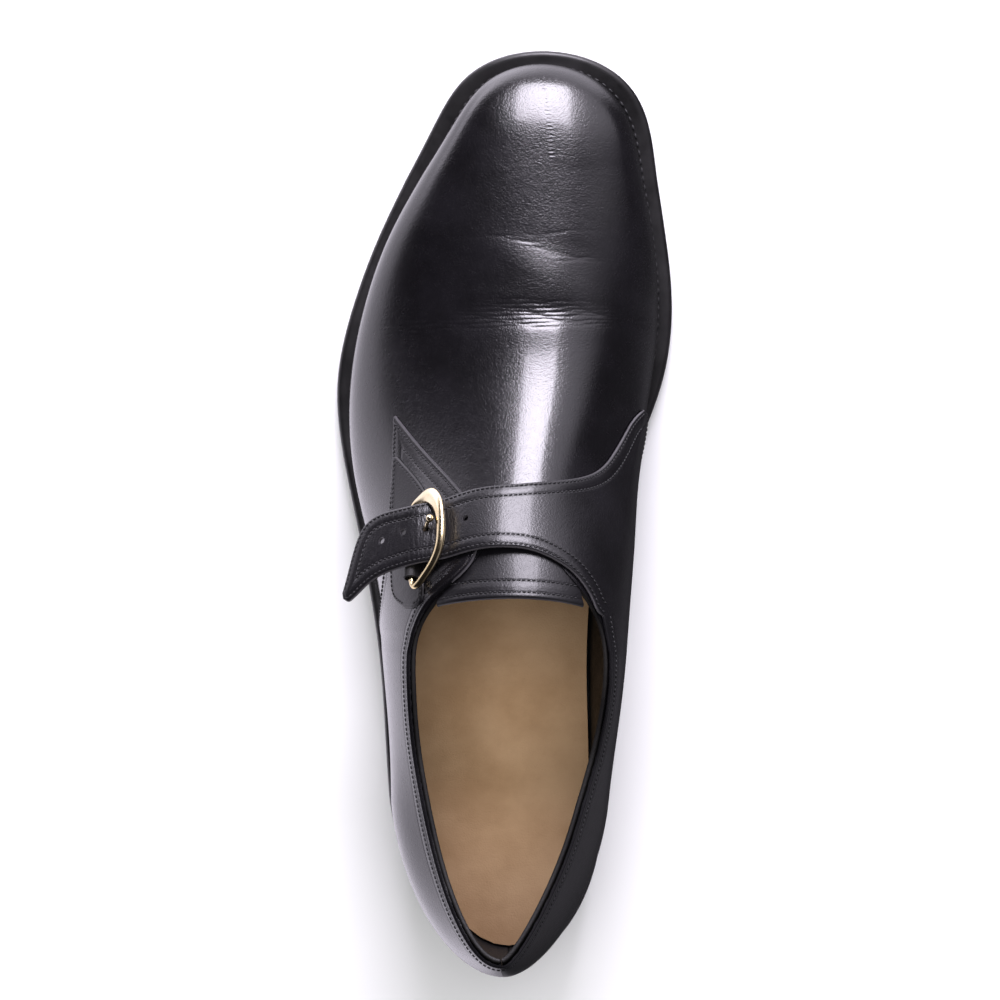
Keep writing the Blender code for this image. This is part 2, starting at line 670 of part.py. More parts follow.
def tube(name, path, radii, across, finish, closed, sides=8):
    """A round bar along a path. Its rings are turned about the given crosswise direction."""
    path = np.asarray(path, float)
    if closed:
        along = np.roll(path, -1, axis=0) - np.roll(path, 1, axis=0)
    else:
        along = np.gradient(path, axis=0)
    along /= np.linalg.norm(along, axis=1, keepdims=True)
    side = np.cross(along, across)
    side /= np.linalg.norm(side, axis=1, keepdims=True)
    top = np.cross(side, along)
    rings = []
    for point, s, t, radius in zip(path, side, top, np.broadcast_to(radii, len(path))):
        turns = np.arange(sides) * 2 * math.pi / sides
        rings.append([point + radius * (math.cos(a) * s + math.sin(a) * t) for a in turns])
    return ring_solid(name, rings, finish, closed)


def make_buckle():
    """Frame with its bar, the keepers over the bar, and the prong through the strap."""
    lay, normal = buckle_plane()
    wrap = 4
    loop = np.concatenate((BUCKLE_LOOP[-wrap:], BUCKLE_LOOP, BUCKLE_LOOP[:wrap]))
    count = len(BUCKLE_LOOP)
    plan = spline(np.arange(len(loop)), loop)(wrap + np.arange(0, count, 0.5))
    on_bar = smooth_step((BAR_BLEND[0] - plan[:, 0]) / (BAR_BLEND[0] - BAR_BLEND[1]))
    tube("buckle_frame", lay(plan), BUCKLE_RADIUS + (BAR_RADIUS - BUCKLE_RADIUS) * on_bar, normal,
         PALE_GOLD, closed=True)

    ends = lay(((BAR_X, 0.0), (BAR_X, -20.0)))
    along = (ends[0] - ends[1]) / np.linalg.norm(ends[0] - ends[1])
    upslope = np.cross(along, normal)
    upslope *= np.sign(upslope[0])
    low = BAR_RADIUS + GAP
    turns = np.radians(np.linspace(*KEEPER_SWEEP, 13))
    arch = [(radius * math.cos(a), radius * math.sin(a))
            for radius, way in ((low, turns), (low + KEEPER_LEATHER, turns[::-1])) for a in way]
    for name, span in KEEPER_SPANS.items():
        rings = []
        for spot in lay([(BAR_X, y) for y in span]):
            rings.append([spot + u * upslope + n * normal for u, n in arch])
        ring_solid("buckle_keeper_" + name, rings, BLACK_LEATHER, closed=False)

    root = lay([(BAR_X, PRONG_ROOT_Y)])[0]
    reach = BAR_RADIUS + GAP + PRONG_RADIUS
    turns = np.radians(np.linspace(*PRONG_HOOK, 6))
    hook = [root + reach * (math.cos(a) * upslope + math.sin(a) * normal) for a in turns]
    tip = lay([PRONG_TIP])[0] + normal * (BUCKLE_RADIUS + GAP + PRONG_BALL)
    shank = [hook[-1] + (tip - hook[-1]) * t for t in (0.2, 0.4, 0.6, 0.8, 0.92, 1.0)]
    radii = [PRONG_RADIUS] * (len(hook) + len(shank) - 2) + [PRONG_BALL, PRONG_BALL * 0.7]
    tube("buckle_prong", hook + shank, radii, along, PALE_GOLD, closed=False)
    reach = tip - hook[-1]
    cutter = tube("prong_hole", [hook[-1] - reach * 0.2, hook[-1] + reach * 0.9],
                  PRONG_RADIUS + HOLE_ROOM, along, BLACK_LEATHER, closed=False, sides=10)
    cutter.hide_render = True
    cutter.display_type = "WIRE"
    return cutter


make_sole()
make_heel()
make_upper()
make_tongue()
make_lateral_quarter()
strap = make_medial_quarter()
make_tab()
hole = strap.modifiers.new("prong_hole", "BOOLEAN")
hole.object = make_buckle()
hole.operation = "DIFFERENCE"
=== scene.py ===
"""Looks of the left monk-strap dress shoe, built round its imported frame.

Sizes are millimetres until a mesh is made. +Y runs to the toe, +X to the medial side and +Z up.
All leather pieces are read from one last surface, at different heights above it.
"""

import math

import bpy
import numpy as np
from mathutils import Matrix, Vector, kdtree


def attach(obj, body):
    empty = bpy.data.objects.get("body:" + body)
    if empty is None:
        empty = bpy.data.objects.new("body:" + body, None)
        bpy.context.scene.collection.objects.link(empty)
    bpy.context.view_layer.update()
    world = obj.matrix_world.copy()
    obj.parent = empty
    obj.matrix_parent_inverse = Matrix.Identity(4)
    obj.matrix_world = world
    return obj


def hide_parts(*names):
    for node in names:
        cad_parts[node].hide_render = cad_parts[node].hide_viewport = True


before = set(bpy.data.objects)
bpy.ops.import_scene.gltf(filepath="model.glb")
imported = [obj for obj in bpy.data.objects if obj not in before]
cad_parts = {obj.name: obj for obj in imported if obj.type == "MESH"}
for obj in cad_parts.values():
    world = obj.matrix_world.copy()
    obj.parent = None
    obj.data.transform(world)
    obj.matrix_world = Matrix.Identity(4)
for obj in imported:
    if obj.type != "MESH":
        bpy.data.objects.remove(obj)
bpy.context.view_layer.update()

# Driving sizes of the last, the upper and the sole.
MM = 0.001
WALL = 1.8
OUTSOLE_THICK = 5.0
WELT_THICK = 3.0
GAP = 0.3
FOOT_RISE = OUTSOLE_THICK + WELT_THICK + 2 * GAP
HEEL_LIFT = 23.0
TOE_SPRING = 9.0
BALL_FRONT = 80.0
BALL_REAR = 35.0
WAIST_REAR = -62.0
TOE_TIP = 151.0
HEEL_BREAST = -76.0
HEEL_TAPER = 0.95
HEEL_CAP = -95.0
TOE_CAP = 110.0
HEEL_DEPTH = 55.0
TOE_DEPTH = 35.0
HEEL_BACK_X = 2.5
TOE_TIP_X = 12.7
THROAT = -3.0
VAMP_SPLIT = 0.42
PANEL_LIFT = 1.4        # outer face of the quarters over the vamp
STRAP_THICK = 1.4
STRAP_ROLL = 1.0        # radius of the strap's rolled edge

# One row for each cross-section of the last, from the heel to the toe. Widths are x, heights z.
SECTION_COLUMNS = (
    "y", "sole_lat", "foot_lat", "bulge_lat", "bulge_lat_z", "shoulder_lat", "shoulder_lat_z",
    "ridge", "ridge_z", "shoulder_med", "shoulder_med_z", "bulge_med", "bulge_med_z", "foot_med",
    "sole_med")
SECTIONS = np.array((
    (-95, -37.0, -32.4, -33.4, 50, -21.8, 77.5, 4.5, 114, 27.0, 80, 34.1, 50, 30.8, 33.4),
    (-80, -38.0, -33.2, -33.9, 48, -24.3, 77, 5, 113, 31.3, 79.5, 35.4, 52, 30.8, 33.2),
    (-50, -40.2, -35.6, -36.4, 46, -26.6, 81, 6, 108, 36.0, 86, 37.8, 55, 30.2, 33.0),
    (-30, -43.5, -39.0, -39.2, 38, -29.5, 72, 4.5, 100, 35.5, 83, 39.6, 48, 31.0, 33.8),
    (-10, -47.8, -43.5, -44.0, 30, -30.0, 66, 8.0, 89.5, 35.5, 73, 41.5, 42, 33.0, 36.0),
    (10, -52.5, -48.0, -48.8, 25, -31.0, 57.5, 11.2, 77, 35.5, 60.5, 43.6, 36, 37.5, 41.0),
    (40, -56.1, -49.8, -50.5, 21, -34.0, 44.5, 12.5, 61, 40.5, 45.5, 49.0, 23, 47.0, 52.2),
    (70, -49.8, -44.0, -44.7, 21, -27.5, 40, 14, 51.5, 42.5, 39.5, 51.3, 22, 50.6, 55.8),
    (90, -42.2, -36.6, -37.2, 22, -22.0, 39.2, 15, 47, 42.0, 38.2, 49.5, 22.5, 48.8, 53.8),
    (110, -32.5, -25.6, -26.1, 23.5, -14.5, 38.0, 14.5, 43, 38.0, 37.2, 45.8, 23.5, 45.2, 50.8)))

# Where each level of the sections ends at the back of the heel and at the tip of the toe, and how
# full its end is in plan: 2 is an ellipse, more is squarer.
CAP_COLUMNS = ("heel_y", "heel_z", "heel_full", "toe_y", "toe_z", "toe_full_lat", "toe_full_med")
CAPS = {
    "sole": (-149.5, 0, 1.9, TOE_TIP, 0, 7.0, 4.0),
    "foot": (-146.0, 0, 1.8, 145.2, 0, 7.5, 3.6),
    "bulge": (-149.2, 50, 1.75, 145.8, 24, 7.5, 3.6),
    "shoulder": (-143.2, 89.5, 2.6, 137.8, 35, 6.0, 3.4),
    "ridge": (-128.0, 116, 2.0, 120.0, 41, 2.0, 2.0)}

# The sections' levels in order across the shoe, with their place along the curve of the section.
LEVELS = ("foot_lat", "bulge_lat", "shoulder_lat", "ridge", "shoulder_med", "bulge_med", "foot_med")
LEVEL_PLACES = np.array((0.0, 0.08, 0.25, 0.5, 0.75, 0.92, 1.0))

# Edge of the collar and throat. Columns: y, lateral place, medial place.
COLLAR = np.array((
    (-150, 0.250, 0.750),
    (-80, 0.250, 0.750),
    (-55, 0.250, 0.750),
    (-42, 0.275, 0.742),
    (-31, 0.335, 0.705),
    (-21, 0.400, 0.635),
    (-13, 0.435, 0.580),
    (THROAT, 0.450, 0.560)))

# Quarters in front of the heel: lower seam by height, upper edge in plan.
# Columns: seam_y, seam_z, edge_y, edge_x.
LATERAL_FRONT = np.array((
    (-41, 36.0, -40.0, -24.5),
    (-34, 48.0, -30.0, -19.2),
    (-24, 55.8, -21.4, -9.4),
    (-12, 58.4, -13.0, -4.6),
    (0, 57.1, -4.0, -5.8),
    (10, 54.6, 5.0, -10.8),
    (20, 51.5, 17.0, -22.4),
    (28.8, 48.6, 29.1, -33.0)))
MEDIAL_FRONT = np.array((
    (-41, 27.0, -34.5, 33.8),
    (-33, 31.5, -27.0, 35.2),
    (-23, 34.0, -18.0, 36.8),
    (-12, 34.5, -9.0, 38.5),
    (0, 34.0, 1.0, 40.4),
    (10, 33.0, 11.0, 42.2),
    (20, 32.5, 21.0, 44.1),
    (30.5, 33.0, 31.5, 46.0)))
QUARTER_TURN = -45.0     # behind it a quarter runs down to the welt
COLLAR_FRONT = -24.0     # behind it the collar's edge is folded, in front of it cut and given the painted rim highlight

# The strap from its root to the buckle: rear and front edge in plan, top face over the last.
# Columns: rear_x, rear_y, front_x, front_y, lift.
STRAP = np.array((
    (33.8, -34.5, 46.0, 31.5, 1.4),
    (31.5, -28.5, 40.8, 22.5, 1.5),
    (26.3, -21.0, 35.5, 14.0, 1.6),
    (18.6, -15.7, 28.0, 9.6, 1.7),
    (11.2, -13.0, 16.0, 8.2, 2.2),
    (3.6, -12.3, 5.0, 7.3, 3.0),
    (-5.0, -13.1, -5.0, 6.2, 3.5),
    (-15.4, -16.0, -15.6, 3.0, 3.6)))

# The free tail behind the buckle, in plan. Columns: rear_x, rear_y, front_x, front_y.
TAIL = np.array((
    (-24.5, -17.8, -25.0, 0.9),
    (-32.2, -20.0, -31.5, -0.6),
    (-38.6, -23.2, -38.6, -3.1),
    (-43.0, -27.2, -43.4, -8.6),
    (-44.8, -28.9, -45.8, -16.0),
    (-46.4, -30.0, -47.4, -22.8),
    (-48.2, -29.5, -48.6, -27.7)))
TAIL_DROP = 0.45
TAIL_CURL = 0.006
TAIL_LEAN = 0.40
BAR_LIFT = 8.7

# The tongue: ends in y, depth of its hollowed rear edge, and its side edges, rear and front.
TONGUE_REAR = -28.2
TONGUE_HOLLOW = 3.0
TONGUE_FRONT = 8.0
TONGUE_LATERAL = (0.345, 0.40)
TONGUE_MEDIAL = (0.685, 0.60)

# Stitch rows, by their distance from the edge that they follow.
STRAP_ROWS = (1.1, 4.4)
TONGUE_ROWS = (2.1, 6.2)
TAB_ROWS = (1.2,)
FRONT_EDGE_ROWS = (1.6, 4.8)
SEAM_ROW = 1.2
COLLAR_ROW = 3.2

# Buckle tab on the lateral quarter. Columns: y, outer_x, inner_x.
TAB = np.array((
    (-32.5, -27.0, -24.5),
    (-30.5, -30.0, -21.5),
    (-26, -31.8, -20.8),
    (-14, -32.4, -20.8),
    (0, -32.6, -20.8),
    (6.0, -32.7, -22.6),
    (11.0, -32.7, -26.8),
    (15.5, -32.6, -31.2)))

# Buckle: middle line of the D-shaped frame in plan, with half its width and half its thickness.
BAR_X = -26.2
BUCKLE_LOOP = np.array((
    (-23.7, 1.9, 1.6, 1.0), (-20.4, 3.4, 2.6, 1.05), (-17.9, 0.8, 2.4, 1.1), (-16.7, -3.2, 1.8, 1.2),
    (-16.4, -7.8, 1.7, 1.25), (-16.9, -12.6, 1.6, 1.2), (-18.7, -17.3, 1.5, 1.15),
    (-21.4, -21.5, 1.4, 1.1), (-24.2, -24.8, 1.15, 1.0), (-25.8, -23.4, 0.9, 0.9),
    (BAR_X, -17.0, 1.0, 1.0), (BAR_X, -11.0, 1.0, 1.0), (BAR_X, -6.0, 1.0, 1.0),
    (-25.9, -0.8, 1.1, 1.0)))
ARC_MIDDLE = (-16.9, -8.0)
ARC_LIFT = 6.2
BAR_ENDS = ((BAR_X, -2.0), (BAR_X, -21.0))
BAR_SEAT = 4.6
PRONG_ROOT_Y = -13.4
PRONG_TIP = (-17.7, -3.6)
PRONG_HOOK = 1.0 + GAP + 0.7        # radius of its hook round the bar
PRONG_REST = 1.2 + GAP + 0.95       # its tip over the middle of the frame
PRONG_HALF = 0.6
PRONG_END = (0.70, 0.94, 1.12, 1.22, 1.24, 1.16, 0.92, 0.45)    # half widths of its rounded tip


def spline(knots, values):
    """Natural cubic spline through rows of values, as a function of an array of positions."""
    knots = np.asarray(knots, float)
    values = np.asarray(values, float)
    bend = spline_bends(knots) @ values
    steps = np.diff(knots)

    def read(places):
        places = np.atleast_1d(np.asarray(places, float))
        left = np.clip(np.searchsorted(knots, places) - 1, 0, len(steps) - 1)
        step = steps[left][:, None]
        after = places[:, None] - knots[left][:, None]
        before = step - after
        curve = (bend[left] * before ** 3 + bend[left + 1] * after ** 3) / (6 * step)
        line_left = (values[left] / step - bend[left] * step / 6) * before
        line_right = (values[left + 1] / step - bend[left + 1] * step / 6) * after
        return curve + line_left + line_right

    return read


def spline_bends(knots):
    """Matrix that gives a natural spline's second derivatives from its values."""
    count = len(knots)
    steps = np.diff(knots)
    system = np.eye(count)
    right = np.zeros((count, count))
    for i in range(1, count - 1):
        system[i, i - 1:i + 2] = steps[i - 1], 2 * (steps[i - 1] + steps[i]), steps[i]
        right[i, i - 1] = 6 / steps[i - 1]
        right[i, i] = -6 / steps[i - 1] - 6 / steps[i]
        right[i, i + 1] = 6 / steps[i]
    return np.linalg.solve(system, right)


SECTION_AT = spline(SECTIONS[:, 0], SECTIONS)
COLLAR_AT = spline(COLLAR[:, 0], COLLAR)
ACROSS_BENDS = spline_bends(LEVEL_PLACES)
ACROSS_STEPS = np.diff(LEVEL_PLACES)
HEEL_END = HEEL_CAP - HEEL_DEPTH
TOE_END = TOE_CAP + TOE_DEPTH


def column(rows, name):
    """One named column of rows from the section table."""
    return rows[:, SECTION_COLUMNS.index(name)]


def smooth_step(t):
    """A soft step from 0 to 1 while t goes from 0 to 1."""
    t = np.clip(t, 0, 1)
    return t * t * (3 - 2 * t)


def unit(vectors):
    """Vectors scaled to length 1."""
    return vectors / np.maximum(np.linalg.norm(vectors, axis=-1, keepdims=True), 1e-9)


def sole_bottom(y):
    """Height of the sole's underside: toe spring, flat ball, waist and heel seat."""
    toe = TOE_SPRING * np.clip((y - BALL_FRONT) / (TOE_TIP - BALL_FRONT), 0, 2) ** 2
    waist = HEEL_LIFT * smooth_step((BALL_REAR - y) / (BALL_REAR - WAIST_REAR))
    return toe + waist


def level(stations, name):
    """Points of one level of the last at the given stations, caps included."""
    stations = np.atleast_1d(np.asarray(stations, float))
    body = np.clip(stations, HEEL_CAP, TOE_CAP)
    row = SECTION_AT(body)
    slope = SECTION_AT(body + 0.5) - SECTION_AT(body - 0.5)
    kind, side = name.split("_") if "_" in name else (name, "lat")
    cap = dict(zip(CAP_COLUMNS, CAPS[kind]))
    at_toe = stations > TOE_CAP
    at_heel = stations < HEEL_CAP
    heel_turn = np.clip((HEEL_CAP - stations) / HEEL_DEPTH, 0, 1)
    toe_turn = np.clip((stations - TOE_CAP) / TOE_DEPTH, 0, 1)
    turn = np.where(at_toe, toe_turn, heel_turn)
    reach = np.where(at_toe, cap["toe_y"] - TOE_CAP, np.where(at_heel, cap["heel_y"] - HEEL_CAP, 0))
    full = np.where(at_toe, cap["toe_full_" + side], cap["heel_full"])
    end_x = np.where(at_toe, TOE_TIP_X, HEEL_BACK_X)
    y = body + reach * turn
    ridge = column(row, "ridge")
    middle = ridge + (end_x - ridge) * turn ** 2
    half = column(row, name) - ridge
    taper = column(slope, name) - column(slope, "ridge")
    x = middle + (half + taper * reach * turn) * np.sqrt(1 - turn ** full)
    if kind == "sole":
        z = sole_bottom(y)
    elif kind == "foot":
        z = sole_bottom(y) + FOOT_RISE
    else:
        height = column(row, name + "_z")
        climb = column(slope, name + "_z") * reach
        end_z = np.where(at_toe, cap["toe_z"], cap["heel_z"])
        z = height + climb * turn + np.where(reach == 0, 0, end_z - height - climb) * turn ** 2
    return np.stack((x, y, z), axis=1)


def last_point(stations, places):
    """Points of the last: station along the shoe, place across it from 0 lateral to 1 medial."""
    knots = np.stack([level(stations, name) for name in LEVELS], axis=1)
    bends = np.einsum("ij,njk->nik", ACROSS_BENDS, knots)
    places = np.asarray(places, float)
    left = np.clip(np.searchsorted(LEVEL_PLACES, places) - 1, 0, len(ACROSS_STEPS) - 1)
    pick = np.arange(len(places))
    step = ACROSS_STEPS[left][:, None]
    after = places[:, None] - LEVEL_PLACES[left][:, None]
    before = step - after
    bend_left = bends[pick, left]
    bend_right = bends[pick, left + 1]
    curve = (bend_left * before ** 3 + bend_right * after ** 3) / (6 * step)
    line_left = (knots[pick, left] / step - bend_left * step / 6) * before
    line_right = (knots[pick, left + 1] / step - bend_right * step / 6) * after
    return curve + line_left + line_right


def last_normal(stations, places):
    """Outward unit normals of the last, by small differences."""
    small_station = 0.05
    small_place = 0.001
    ahead = last_point(np.minimum(stations + small_station, TOE_END), places)
    behind = last_point(np.maximum(stations - small_station, HEEL_END), places)
    up = last_point(stations, np.minimum(places + small_place, 1))
    down = last_point(stations, np.maximum(places - small_place, 0))
    return unit(np.cross(up - down, ahead - behind))


def skin(stations, places, lift):
    """A grid of points at a height above the last. Its foot edge stays level with the welt."""
    stations, places = np.broadcast_arrays(np.asarray(stations, float), np.asarray(places, float))
    flat_g = stations.ravel()
    # At both ends the sides meet, so there the medial half takes the lateral half's places.
    at_end = (flat_g < HEEL_END + 1e-6) | (flat_g > TOE_END - 1e-6)
    flat_v = np.where(at_end, np.minimum(places.ravel(), 1 - places.ravel()), places.ravel())
    base = last_point(flat_g, flat_v)
    facing = last_normal(flat_g, np.where(at_end, np.minimum(flat_v, 0.47), flat_v))
    points = base + facing * np.broadcast_to(lift, stations.shape).ravel()[:, None]
    low = (flat_v < 0.02) | (flat_v > 0.98)
    points[low, 2] = np.maximum(points[low, 2], sole_bottom(base[low, 1]) + FOOT_RISE)
    return points.reshape(stations.shape + (3,))


SIDE_PLACES = {"lateral": np.linspace(0.0, 0.5, 401), "medial": np.linspace(1.0, 0.5, 401)}


def place_at_height(y, z, side):
    """Place across the last where it reaches a height, at one station."""
    places = SIDE_PLACES[side]
    heights = last_point(np.full(len(places), y), places)[:, 2]
    return float(np.interp(z, np.maximum.accumulate(heights), places))


def place_at_width(y, x):
    """Place across the top of the last at a plan width, at one station."""
    places = np.linspace(0.08, 0.92, 401)
    widths = last_point(np.full(len(places), y), places)[:, 0]
    return float(np.interp(x, np.maximum.accumulate(widths), places))


def last_at_plan(x, y):
    """Point and normal of the last over plan positions on its top."""
    places = np.array([place_at_width(b, a) for a, b in zip(x, y)])
    return last_point(np.asarray(y), places), last_normal(np.asarray(y), places)


def finer(rows, count):
    """A table read through a smooth curve at more rows."""
    places = np.arange(len(rows))
    parts = np.linspace(0, 1, count) if isinstance(count, int) else count
    return spline(places, rows)(parts * (len(rows) - 1))


def even_turns(count):
    """Stations round a cap, closer together towards its end."""
    return np.sin(np.linspace(0, math.pi / 2, count + 1))


def walk(line):
    """Distance walked along a line at each of its points."""
    steps = np.linalg.norm(np.diff(line, axis=0), axis=1)
    return np.concatenate(([0.0], np.cumsum(steps)))


def line_at(line, spots, values=None):
    """Points of a line at walked distances, or vectors that go with its points."""
    walked = walk(line)
    values = line if values is None else values
    return np.stack([np.interp(spots, walked, values[:, k]) for k in range(3)], axis=-1)


# Mesh helpers: a grid primitive moved to its points, walls, rounded edges and joined copies.


WELD_GAP = 0.02 * MM


def only(piece):
    """Selects one piece and nothing else."""
    bpy.ops.object.select_all(action="DESELECT")
    piece.select_set(True)
    bpy.context.view_layer.objects.active = piece


def grid_piece(name, points):
    """A grid primitive whose corners are moved to rows and columns of points."""
    rows, columns = points.shape[:2]
    bpy.ops.object.select_all(action="DESELECT")
    bpy.ops.mesh.primitive_grid_add(x_subdivisions=columns - 1, y_subdivisions=rows - 1, size=0.1)
    piece = bpy.context.object
    piece.name = name
    piece.data.name = name
    piece.data.vertices.foreach_set("co", (points.reshape(-1, 3) * MM).ravel())
    piece.data.update()
    return piece


def mark(piece, name, values):
    """Stores a number at each point of a piece for its finish to read."""
    layer = piece.data.attributes.new(name, "FLOAT", "POINT")
    layer.data.foreach_set("value", np.asarray(values, np.float32).ravel())


def join(name, pieces):
    """Joins pieces into one and closes the seams where their points meet."""
    only(pieces[0])
    for piece in pieces[1:]:
        piece.select_set(True)
    bpy.ops.object.join()
    joined = bpy.context.object
    joined.name = name
    joined.data.name = name
    weld(joined)
    return joined


def in_edit_mode(piece, select, *operators):
    """Runs operators on a piece in edit mode, with all or none of it selected first."""
    only(piece)
    bpy.ops.object.mode_set(mode="EDIT")
    bpy.ops.mesh.select_all(action=select)
    for operator in operators:
        operator()
    bpy.ops.object.mode_set(mode="OBJECT")


def weld(piece):
    """Merges points that lie on each other."""
    in_edit_mode(piece, "SELECT", lambda: bpy.ops.mesh.remove_doubles(threshold=WELD_GAP))


def face_out(piece):
    """Turns all faces of a closed piece outwards."""
    in_edit_mode(piece, "SELECT", lambda: bpy.ops.mesh.normals_make_consistent(inside=False))


def close_ends(piece):
    """Fills the open ends of a piece."""
    in_edit_mode(piece, "DESELECT", bpy.ops.mesh.select_non_manifold, bpy.ops.mesh.edge_face_add)


def thicken(piece, thick):
    """Gives a sheet a wall behind its face."""
    only(piece)
    wall = piece.modifiers.new("wall", "SOLIDIFY")
    wall.thickness = thick * MM
    wall.offset = -1.0
    bpy.ops.object.modifier_apply(modifier=wall.name)


def round_edges(piece, width):
    """Bevels the sharp edges of a piece."""
    only(piece)
    edge = piece.modifiers.new("edge", "BEVEL")
    edge.width = width * MM
    edge.segments = 3
    edge.limit_method = "ANGLE"
    edge.angle_limit = math.radians(55)
    edge.use_clamp_overlap = False
    bpy.ops.object.modifier_apply(modifier=edge.name)


def smooth(piece, degrees):
    """Smooths the shading, apart from edges sharper than an angle."""
    only(piece)
    bpy.ops.object.shade_smooth_by_angle(angle=math.radians(degrees))


def dress(piece, finish, slot, *nodes):
    """Gives a piece its finish and the CAD nodes that it stands for. Its slot is not used."""
    piece.data.materials.clear()
    piece.data.materials.append(finish)
    if nodes:
        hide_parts(*nodes)
    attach(piece, "root")
    return piece


def grid_normals(points):
    """Unit normals of a grid of points, on the side that grid_piece faces."""
    down = np.gradient(points, axis=0)
    across = np.gradient(points, axis=1)
    return unit(np.cross(across, down))


def inset_line(sheet, inset, rows=slice(None), from_end=False):
    """The line on a sheet that keeps a distance from its edge, row by row, with its normals."""
    points, distance = sheet
    normals = grid_normals(points)[rows]
    points = points[rows]
    distance = distance[rows]
    if from_end:
        points = points[:, ::-1]
        normals = normals[:, ::-1]
        distance = distance[:, ::-1]
    line = []
    facing = []
    for row, up, away in zip(points, normals, distance):
        after = int(np.argmax(away >= inset))
        if after == 0:
            continue
        share = (inset - away[after - 1]) / (away[after] - away[after - 1])
        line.append(row[after - 1] + (row[after] - row[after - 1]) * share)
        facing.append(up[after])
    return np.array(line), np.array(facing)


EDGE_PITCH = 0.08      # between the spots that stand for an edge line


def edge_distance(points, lines):
    """Distance of each grid point from the nearest of some edge lines."""
    spots = []
    for line in lines:
        length = walk(line)[-1]
        spots.append(line_at(line, np.linspace(0, length, max(2, int(length / EDGE_PITCH)))))
    spots = np.concatenate(spots)
    tree = kdtree.KDTree(len(spots))
    for number, spot in enumerate(spots):
        tree.insert(spot, number)
    tree.balance()
    distances = [tree.find(point)[2] for point in points.reshape(-1, 3)]
    return np.array(distances).reshape(points.shape[:2])


def rolled(distance, radius):
    """How far the rounded edge of a sheet drops, by the distance from the edge."""
    short = radius - np.minimum(distance, radius)
    return radius - np.sqrt(np.maximum(radius ** 2 - short ** 2, 0))


def soften(points, distance, radius, depth=None):
    """Rolls the edge of a sheet down, by its radius or to another depth."""
    drop = rolled(distance, radius) * (depth or radius) / radius
    return points - grid_normals(points) * drop[..., None]


def underside(points, distance, radius, thick):
    """The back of a sheet. It meets the rolled edge and the sheet's first row."""
    drop = rolled(distance, radius)
    full = radius + (thick - radius) * smooth_step(distance / 1.2)
    onward = smooth_step(np.arange(len(points)) / 8)[:, None]
    return points - grid_normals(points) * (drop + (full - drop) * onward)[..., None]


EDGE_STEPS = np.array((0.0, 0.05, 0.14, 0.28, 0.46, 0.70, 1.0))


def edged_parts(length, count):
    """Fractions across a sheet, close together near both edges, for a length in millimetres."""
    near = EDGE_STEPS * min(1.0, length / 3.0) / length
    inner = np.linspace(near[-1], 1 - near[-1], count)[1:-1]
    return np.concatenate((near, inner, 1 - near[::-1]))


def edged_rows(count):
    """Fractions along a sheet, close together near its far end."""
    return np.concatenate((np.linspace(0, 0.985, count), 1 - 0.012 * EDGE_STEPS[::-1]))


# Finishes: shader sockets with arithmetic, and one method for every node.


class Field:
    """A shader socket whose arithmetic adds Math nodes."""

    def __init__(self, finish, socket):
        self.finish = finish
        self.socket = socket

    def math(self, operation, *others):
        """A Math node on this field and other fields or numbers."""
        values = (self,) + others
        return self.finish.node("ShaderNodeMath", {"operation": operation}, dict(enumerate(values)))

    def __add__(self, other):
        return self.math("ADD", other)

    def __sub__(self, other):
        return self.math("SUBTRACT", other)

    def __rsub__(self, other):
        return -self + other

    def __mul__(self, other):
        return self.math("MULTIPLY", other)

    def __truediv__(self, other):
        return self.math("DIVIDE", other)

    def __neg__(self):
        return self * -1.0

    __radd__ = __add__
    __rmul__ = __mul__

    def ramp(self, low, high):
        """A soft step from 0 at low to 1 at high."""
        return self.finish.node("ShaderNodeMapRange", {"interpolation_type": "SMOOTHSTEP"},
                                {"Value": self, "From Min": low, "From Max": high})

    def trough(self, place, width):
        """A soft bell of height 1 at a place."""
        away = (self - place) / width
        return (-(away * away)).math("EXPONENT")


